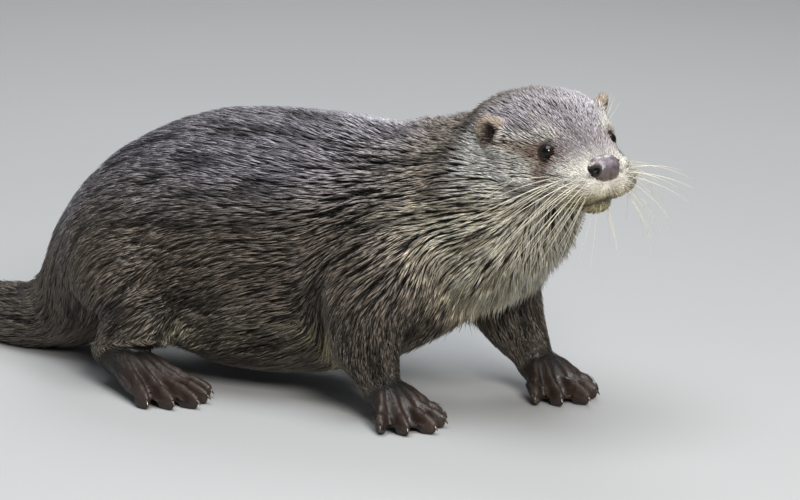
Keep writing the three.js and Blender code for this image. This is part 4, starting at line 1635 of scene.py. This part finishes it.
class OTTER_OT_nose(bpy.types.Operator):
    """Makes the broad nose with its two nostrils"""

    bl_idname = "otter.nose"
    bl_label = "Nose"

    def execute(self, context):
        directions, triangles = sphere_grid(*NOSE_GRID)
        points, pit = nose_shape(directions)
        mesh = mesh_of("nose_pad", points, triangles)
        up = directions[:, 1]
        # Painted highlight: the top of the nose is up to twice as light as its lower part, standing in for
        # the sky's reflection on the wet skin.
        tint = np.array(context.scene.otter_face.nose) * (0.7 + 0.7 * smoothstep(0.1, 0.75, up))[:, None]
        tint = mix(tint, tint * UNDER_NOSE, smoothstep(0.2, -0.3, up))
        # Painted shade: the carved nostrils are coloured near black.
        tint = mix(tint, np.array(NOSTRIL_SHADE), smoothstep(0.10, 0.34, pit))
        set_colours(mesh, "tint", tint)
        add_piece("nose_pad", mesh, nose_material(), ["nose"])
        return {"FINISHED"}


# ---------------------------------------------------------------- claws
def claw_material(colour):
    """Dark horn with fine streaks."""
    material, nodes, links, shader = node_material("claw horn")
    streaks = noise_node(nodes, links, 700, 3, 0.6, object_coordinates(nodes))
    stops = [(0.3, scaled(colour, 0.4)), (0.72, scaled(colour, 1.9))]
    links.new(ramp_node(nodes, links, streaks.outputs["Fac"], stops), shader.inputs["Base Color"])
    links.new(range_node(nodes, links, streaks.outputs["Fac"], 0.16, 0.4), shader.inputs["Roughness"])
    ridges = bump_node(nodes, links, streaks.outputs["Fac"], 0.3, 0.0003)
    links.new(ridges.outputs["Normal"], shader.inputs["Normal"])
    shader.inputs["Coat Weight"].default_value = 0.4
    return material


class OTTER_OT_claws(bpy.types.Operator):
    """Makes the curved claws of each foot"""

    bl_idname = "otter.claws"
    bl_label = "Claws"

    def execute(self, context):
        material = claw_material(tuple(context.scene.otter_face.claw))
        for foot in FEET:
            nodes = [f"{foot}_claw_{number}" for number in range(1, 6)]
            rough = add_object("rough_claws", welded(nodes))
            rounder = rough.modifiers.new("round", "SUBSURF")
            rounder.levels = rounder.render_levels = 2
            mesh = applied(rough)
            shade_smooth(mesh)
            add_piece(f"claws_{foot}", mesh, material, nodes)
        return {"FINISHED"}


# ---------------------------------------------------------------- whiskers
def tubes(name, lines, radii, sides=5):
    """Closed tapering tubes along lines of equal length, each ending in a point."""
    count, steps, _ = lines.shape
    ahead = unit(np.gradient(lines, axis=1))
    guide = np.array([0.1, 0.2, 1.0])
    side = unit(np.cross(ahead, guide))
    top = np.cross(side, ahead)
    turn = 2 * np.pi * np.arange(sides) / sides
    rings = steps - 1
    size = rings * sides + 1
    points = np.empty((count, size, 3))
    for k in range(rings):
        for j, angle in enumerate(turn):
            step = side[:, k] * math.cos(angle) + top[:, k] * math.sin(angle)
            points[:, k * sides + j] = lines[:, k] + step * radii[:, k : k + 1]
    points[:, -1] = lines[:, -1]
    faces = [(0, j + 1, j) for j in range(1, sides - 1)]
    for k in range(rings - 1):
        for j in range(sides):
            n, a, b = (j + 1) % sides, k * sides, (k + 1) * sides
            faces += [(a + j, a + n, b + n), (a + j, b + n, b + j)]
    a = (rings - 1) * sides
    faces += [(a + j, a + (j + 1) % sides, size - 1) for j in range(sides)]
    triangles = (np.array(faces)[None] + (np.arange(count) * size)[:, None, None]).reshape(-1, 3)
    mesh = mesh_of(name, points.reshape(-1, 3), triangles)
    strand = np.zeros((count, size, 3))
    strand[..., 0] = np.append(np.repeat(np.linspace(0, 1, steps)[:-1], sides), 1)
    set_vectors(mesh, "strand", strand.reshape(-1, 3))
    return mesh


def whisker_material(colour):
    """Stiff pale hair, a little darker at its root."""
    material, nodes, links, shader = node_material("whisker hair")
    along = nodes.new("ShaderNodeSeparateXYZ")
    links.new(attribute_node(nodes, "strand").outputs["Vector"], along.inputs[0])
    speckle = noise_node(nodes, links, 1500, 2, 0.5, object_coordinates(nodes))
    stops = [(0.0, scaled(colour, 0.35)), (0.22, colour)]
    shades = ramp_node(nodes, links, along.outputs["X"], stops)
    light = range_node(nodes, links, speckle.outputs["Fac"], 0.85, 1.15)
    links.new(tinted(nodes, links, shades, light), shader.inputs["Base Color"])
    links.new(range_node(nodes, links, speckle.outputs["Fac"], 0.25, 0.45), shader.inputs["Roughness"])
    return material


# How far the whiskers are rooted in the skin, in metres.
WHISKER_DEPTH = 0.0008


def whisker_lines(side, longest):
    """Points along the whiskers of one side: those of the lip, the brow, the cheek and the chin."""
    sign = SIDES[side]
    rng = np.random.default_rng(41 + sign)
    # Each whisker's root and aim on the head, its length and how far it sags.
    rows = []
    for number, root in enumerate(whisker_roots()):
        row, k = divmod(number, 5)
        reach = longest * (0.58 + 0.42 * math.sin(math.pi * (0.18 + 0.17 * k))) * (1 - 0.06 * row)
        aim = (0.30 - 0.30 * k, 1.0, -0.10 - 0.30 * row)
        rows.append((root, aim, reach * (0.78 + 0.27 * rng.random()), 0.5))
    for k in range(3):
        rows.append(((56 - 3 * k, 19.5 + 1.5 * k, 5.5), (0.35 - 0.3 * k, 0.6, 0.9), longest * 0.34, 0.1))
    for k in range(2):
        rows.append(((34 - 5 * k, 38 + k, -30), (-0.4, 1.0, -0.5), longest * 0.45, 0.3))
    for k in range(6):
        aim = (0.24 - 0.12 * k, 0.22 + 0.07 * k, -1.0)
        rows.append(((84 - 5 * k, 4 + 2.2 * k, -45 - k), aim, longest * 0.55, 0.2))
    lines = []
    share = np.linspace(0, 1, 9)
    for (f, out, up), (af, ao, au), reach, sag in rows:
        start = on_head(f, sign * out, up)
        found = SHAPE["tree"].find(start)[1]
        start = SHAPE["points"][found] - SHAPE["normals"][found] * WHISKER_DEPTH
        aim = head_direction(af + 0.3 * (rng.random() - 0.5), sign * ao, au + 0.34 * (rng.random() - 0.5))
        line = start + np.outer(share * reach, aim)
        line[:, 2] -= sag * reach * share**2 * 0.55
        line += np.outer(share**2 * reach * (0.12 + 0.22 * rng.random()), head_direction(-1, 0, 0))
        lines.append(line)
    return np.array(lines)


class OTTER_OT_whiskers(bpy.types.Operator):
    """Makes the stiff pale whiskers of the lips, brows and cheeks"""

    bl_idname = "otter.whiskers"
    bl_label = "Whiskers"

    def execute(self, context):
        face = context.scene.otter_face
        material = whisker_material(tuple(face.whisker))
        for side in SIDES:
            lines = whisker_lines(side, face.whisker_length)
            taper = (1 - np.linspace(0, 1, lines.shape[1])) ** 0.6 * face.whisker_width / 2
            reach = np.linalg.norm(lines[:, -1] - lines[:, 0], axis=1)
            radii = np.outer(np.clip(reach / face.whisker_length, 0.5, 1), taper)
            name = f"whiskers_{side}"
            add_piece(name, tubes(name, lines, radii), material)
        return {"FINISHED"}


# ---------------------------------------------------------------- stage
class OtterStage(bpy.types.PropertyGroup):
    """The floor, the lights and the camera."""

    floor: colour_property("Floor", "Pale matte floor", 150, 150, 149)
    azimuth: angle_property("Azimuth", "Camera's turn round the otter", -58)
    elevation: angle_property("Elevation", "Camera's height above the level", 12, 0.02, 1.5)
    distance: length_property("Distance", "Camera's distance from the otter", 3.0, 0.8, 10)
    light: number_property("Light", "Strength of the lights", 1.0, 0.1, 5)


LENS, SENSOR_WIDTH = 189.0, 36.0
# Half the floor's side in metres, and what the camera and the lights look at.
FLOOR_REACH = 40.0
STAGE_MIDDLE = (0, -50, 124)
# Each light's name, its place beside the stage's middle, its height, width, power and colour.
LIGHTS = (
    ("sky", (-0.6, -0.3), 2.6, 2.2, 95, (0.92, 0.96, 1.0)),
    ("key", (-1.9, -2.0), 1.75, 1.1, 138, (1.0, 0.98, 0.95)),
    ("rim", (1.6, 1.2), 1.8, 1.2, 24, (0.95, 0.97, 1.0)),
)


def floor_material(colour):
    """Pale matte floor with the faintest cloudiness."""
    material, nodes, links, shader = node_material("pale floor")
    cloud = noise_node(nodes, links, 1.3, 2, 0.5, object_coordinates(nodes))
    light = range_node(nodes, links, cloud.outputs["Fac"], 0.985, 1.015)
    base = nodes.new("ShaderNodeRGB")
    base.outputs[0].default_value = (*colour, 1)
    links.new(tinted(nodes, links, base.outputs[0], light), shader.inputs["Base Color"])
    shader.inputs["Roughness"].default_value = 0.85
    shader.inputs["Specular IOR Level"].default_value = 0.2
    return material


def area_light(name, spot, size, power, colour, target):
    """A round soft light that faces the target."""
    lamp = bpy.data.lights.new(name, "AREA")
    lamp.shape, lamp.size, lamp.energy, lamp.color = "DISK", size, power, colour
    piece = bpy.data.objects.new(name, lamp)
    piece.location = spot
    piece.rotation_euler = (Vector(target) - Vector(spot)).to_track_quat("-Z", "Y").to_euler()
    bpy.context.scene.collection.objects.link(piece)


class OTTER_OT_stage(bpy.types.Operator):
    """Sets the pale floor, the soft lights and the camera"""

    bl_idname = "otter.stage"
    bl_label = "Stage"

    def execute(self, context):
        scene = context.scene
        stage = scene.otter_stage
        corners = np.array([(x, y, 0) for x, y in ((-1, -1), (1, -1), (1, 1), (-1, 1))]) * FLOOR_REACH
        floor = add_object("floor", mesh_of("floor", corners, np.array([(0, 1, 2), (0, 2, 3)])))
        floor.data.materials.append(floor_material(tuple(stage.floor)))
        world = bpy.data.worlds.new("studio")
        world.use_nodes = True
        background = world.node_tree.nodes["Background"]
        background.inputs["Color"].default_value = (0.77, 0.80, 0.86, 1)
        background.inputs["Strength"].default_value = 0.34 * stage.light
        scene.world = world
        target = tuple(place(*STAGE_MIDDLE))
        for name, (x, y), height, size, power, colour in LIGHTS:
            spot = (target[0] + x, target[1] + y, height)
            area_light(name, spot, size, power * stage.light, colour, target)
        camera = bpy.data.objects.new("camera", bpy.data.cameras.new("camera"))
        camera.data.lens, camera.data.sensor_width = LENS, SENSOR_WIDTH
        camera.data.clip_start, camera.data.clip_end = 0.1, 100
        a, e = stage.azimuth, stage.elevation
        back = Vector((math.sin(a) * math.cos(e), -math.cos(a) * math.cos(e), math.sin(e)))
        camera.location = Vector(target) + back * stage.distance
        camera.rotation_euler = (-back).to_track_quat("-Z", "Y").to_euler()
        scene.collection.objects.link(camera)
        scene.camera = camera
        scene.view_settings.view_transform = "Standard"
        return {"FINISHED"}


# ---------------------------------------------------------------- panel and running
class OTTER_PT_panel(bpy.types.Panel):
    """Lists the otter's pieces and their sizes and colours"""

    bl_label = "River Otter"
    bl_idname = "OTTER_PT_panel"
    bl_space_type = "VIEW_3D"
    bl_region_type = "UI"
    bl_category = "Otter"

    def draw(self, context):
        scene = context.scene
        for group in GROUPS:
            box = self.layout.box()
            settings = getattr(scene, group)
            box.label(text=group.replace("otter_", "").title())
            for name in settings.bl_rna.properties.keys():
                if name not in ("rna_type", "name"):
                    box.prop(settings, name)
        for operator in OPERATORS:
            self.layout.operator(operator.bl_idname)


GROUPS = {
    "otter_skin": OtterSkin,
    "otter_markings": OtterMarkings,
    "otter_coat": OtterCoat,
    "otter_face": OtterFace,
    "otter_stage": OtterStage,
}
OPERATORS = (
    OTTER_OT_skin, OTTER_OT_eyes, OTTER_OT_nose, OTTER_OT_claws, OTTER_OT_whiskers, OTTER_OT_head_coat,
    OTTER_OT_neck_coat, OTTER_OT_trunk_coat, OTTER_OT_leg_coat, OTTER_OT_tail_coat, OTTER_OT_stage,
)
CLASSES = (*GROUPS.values(), *OPERATORS, OTTER_PT_panel)


def register():
    for cls in CLASSES:
        bpy.utils.register_class(cls)
    for name, cls in GROUPS.items():
        setattr(bpy.types.Scene, name, PointerProperty(type=cls))


def unregister():
    for name in GROUPS:
        delattr(bpy.types.Scene, name)
    for cls in reversed(CLASSES):
        bpy.utils.unregister_class(cls)


def main():
    register()
    bpy.ops.otter.skin()
    bpy.ops.otter.eyes()
    bpy.ops.otter.nose()
    bpy.ops.otter.claws()
    bpy.ops.otter.whiskers()
    bpy.ops.otter.head_coat()
    bpy.ops.otter.neck_coat()
    bpy.ops.otter.trunk_coat()
    bpy.ops.otter.leg_coat()
    bpy.ops.otter.tail_coat()
    bpy.ops.otter.stage()


if __name__ == "__main__":
    main()
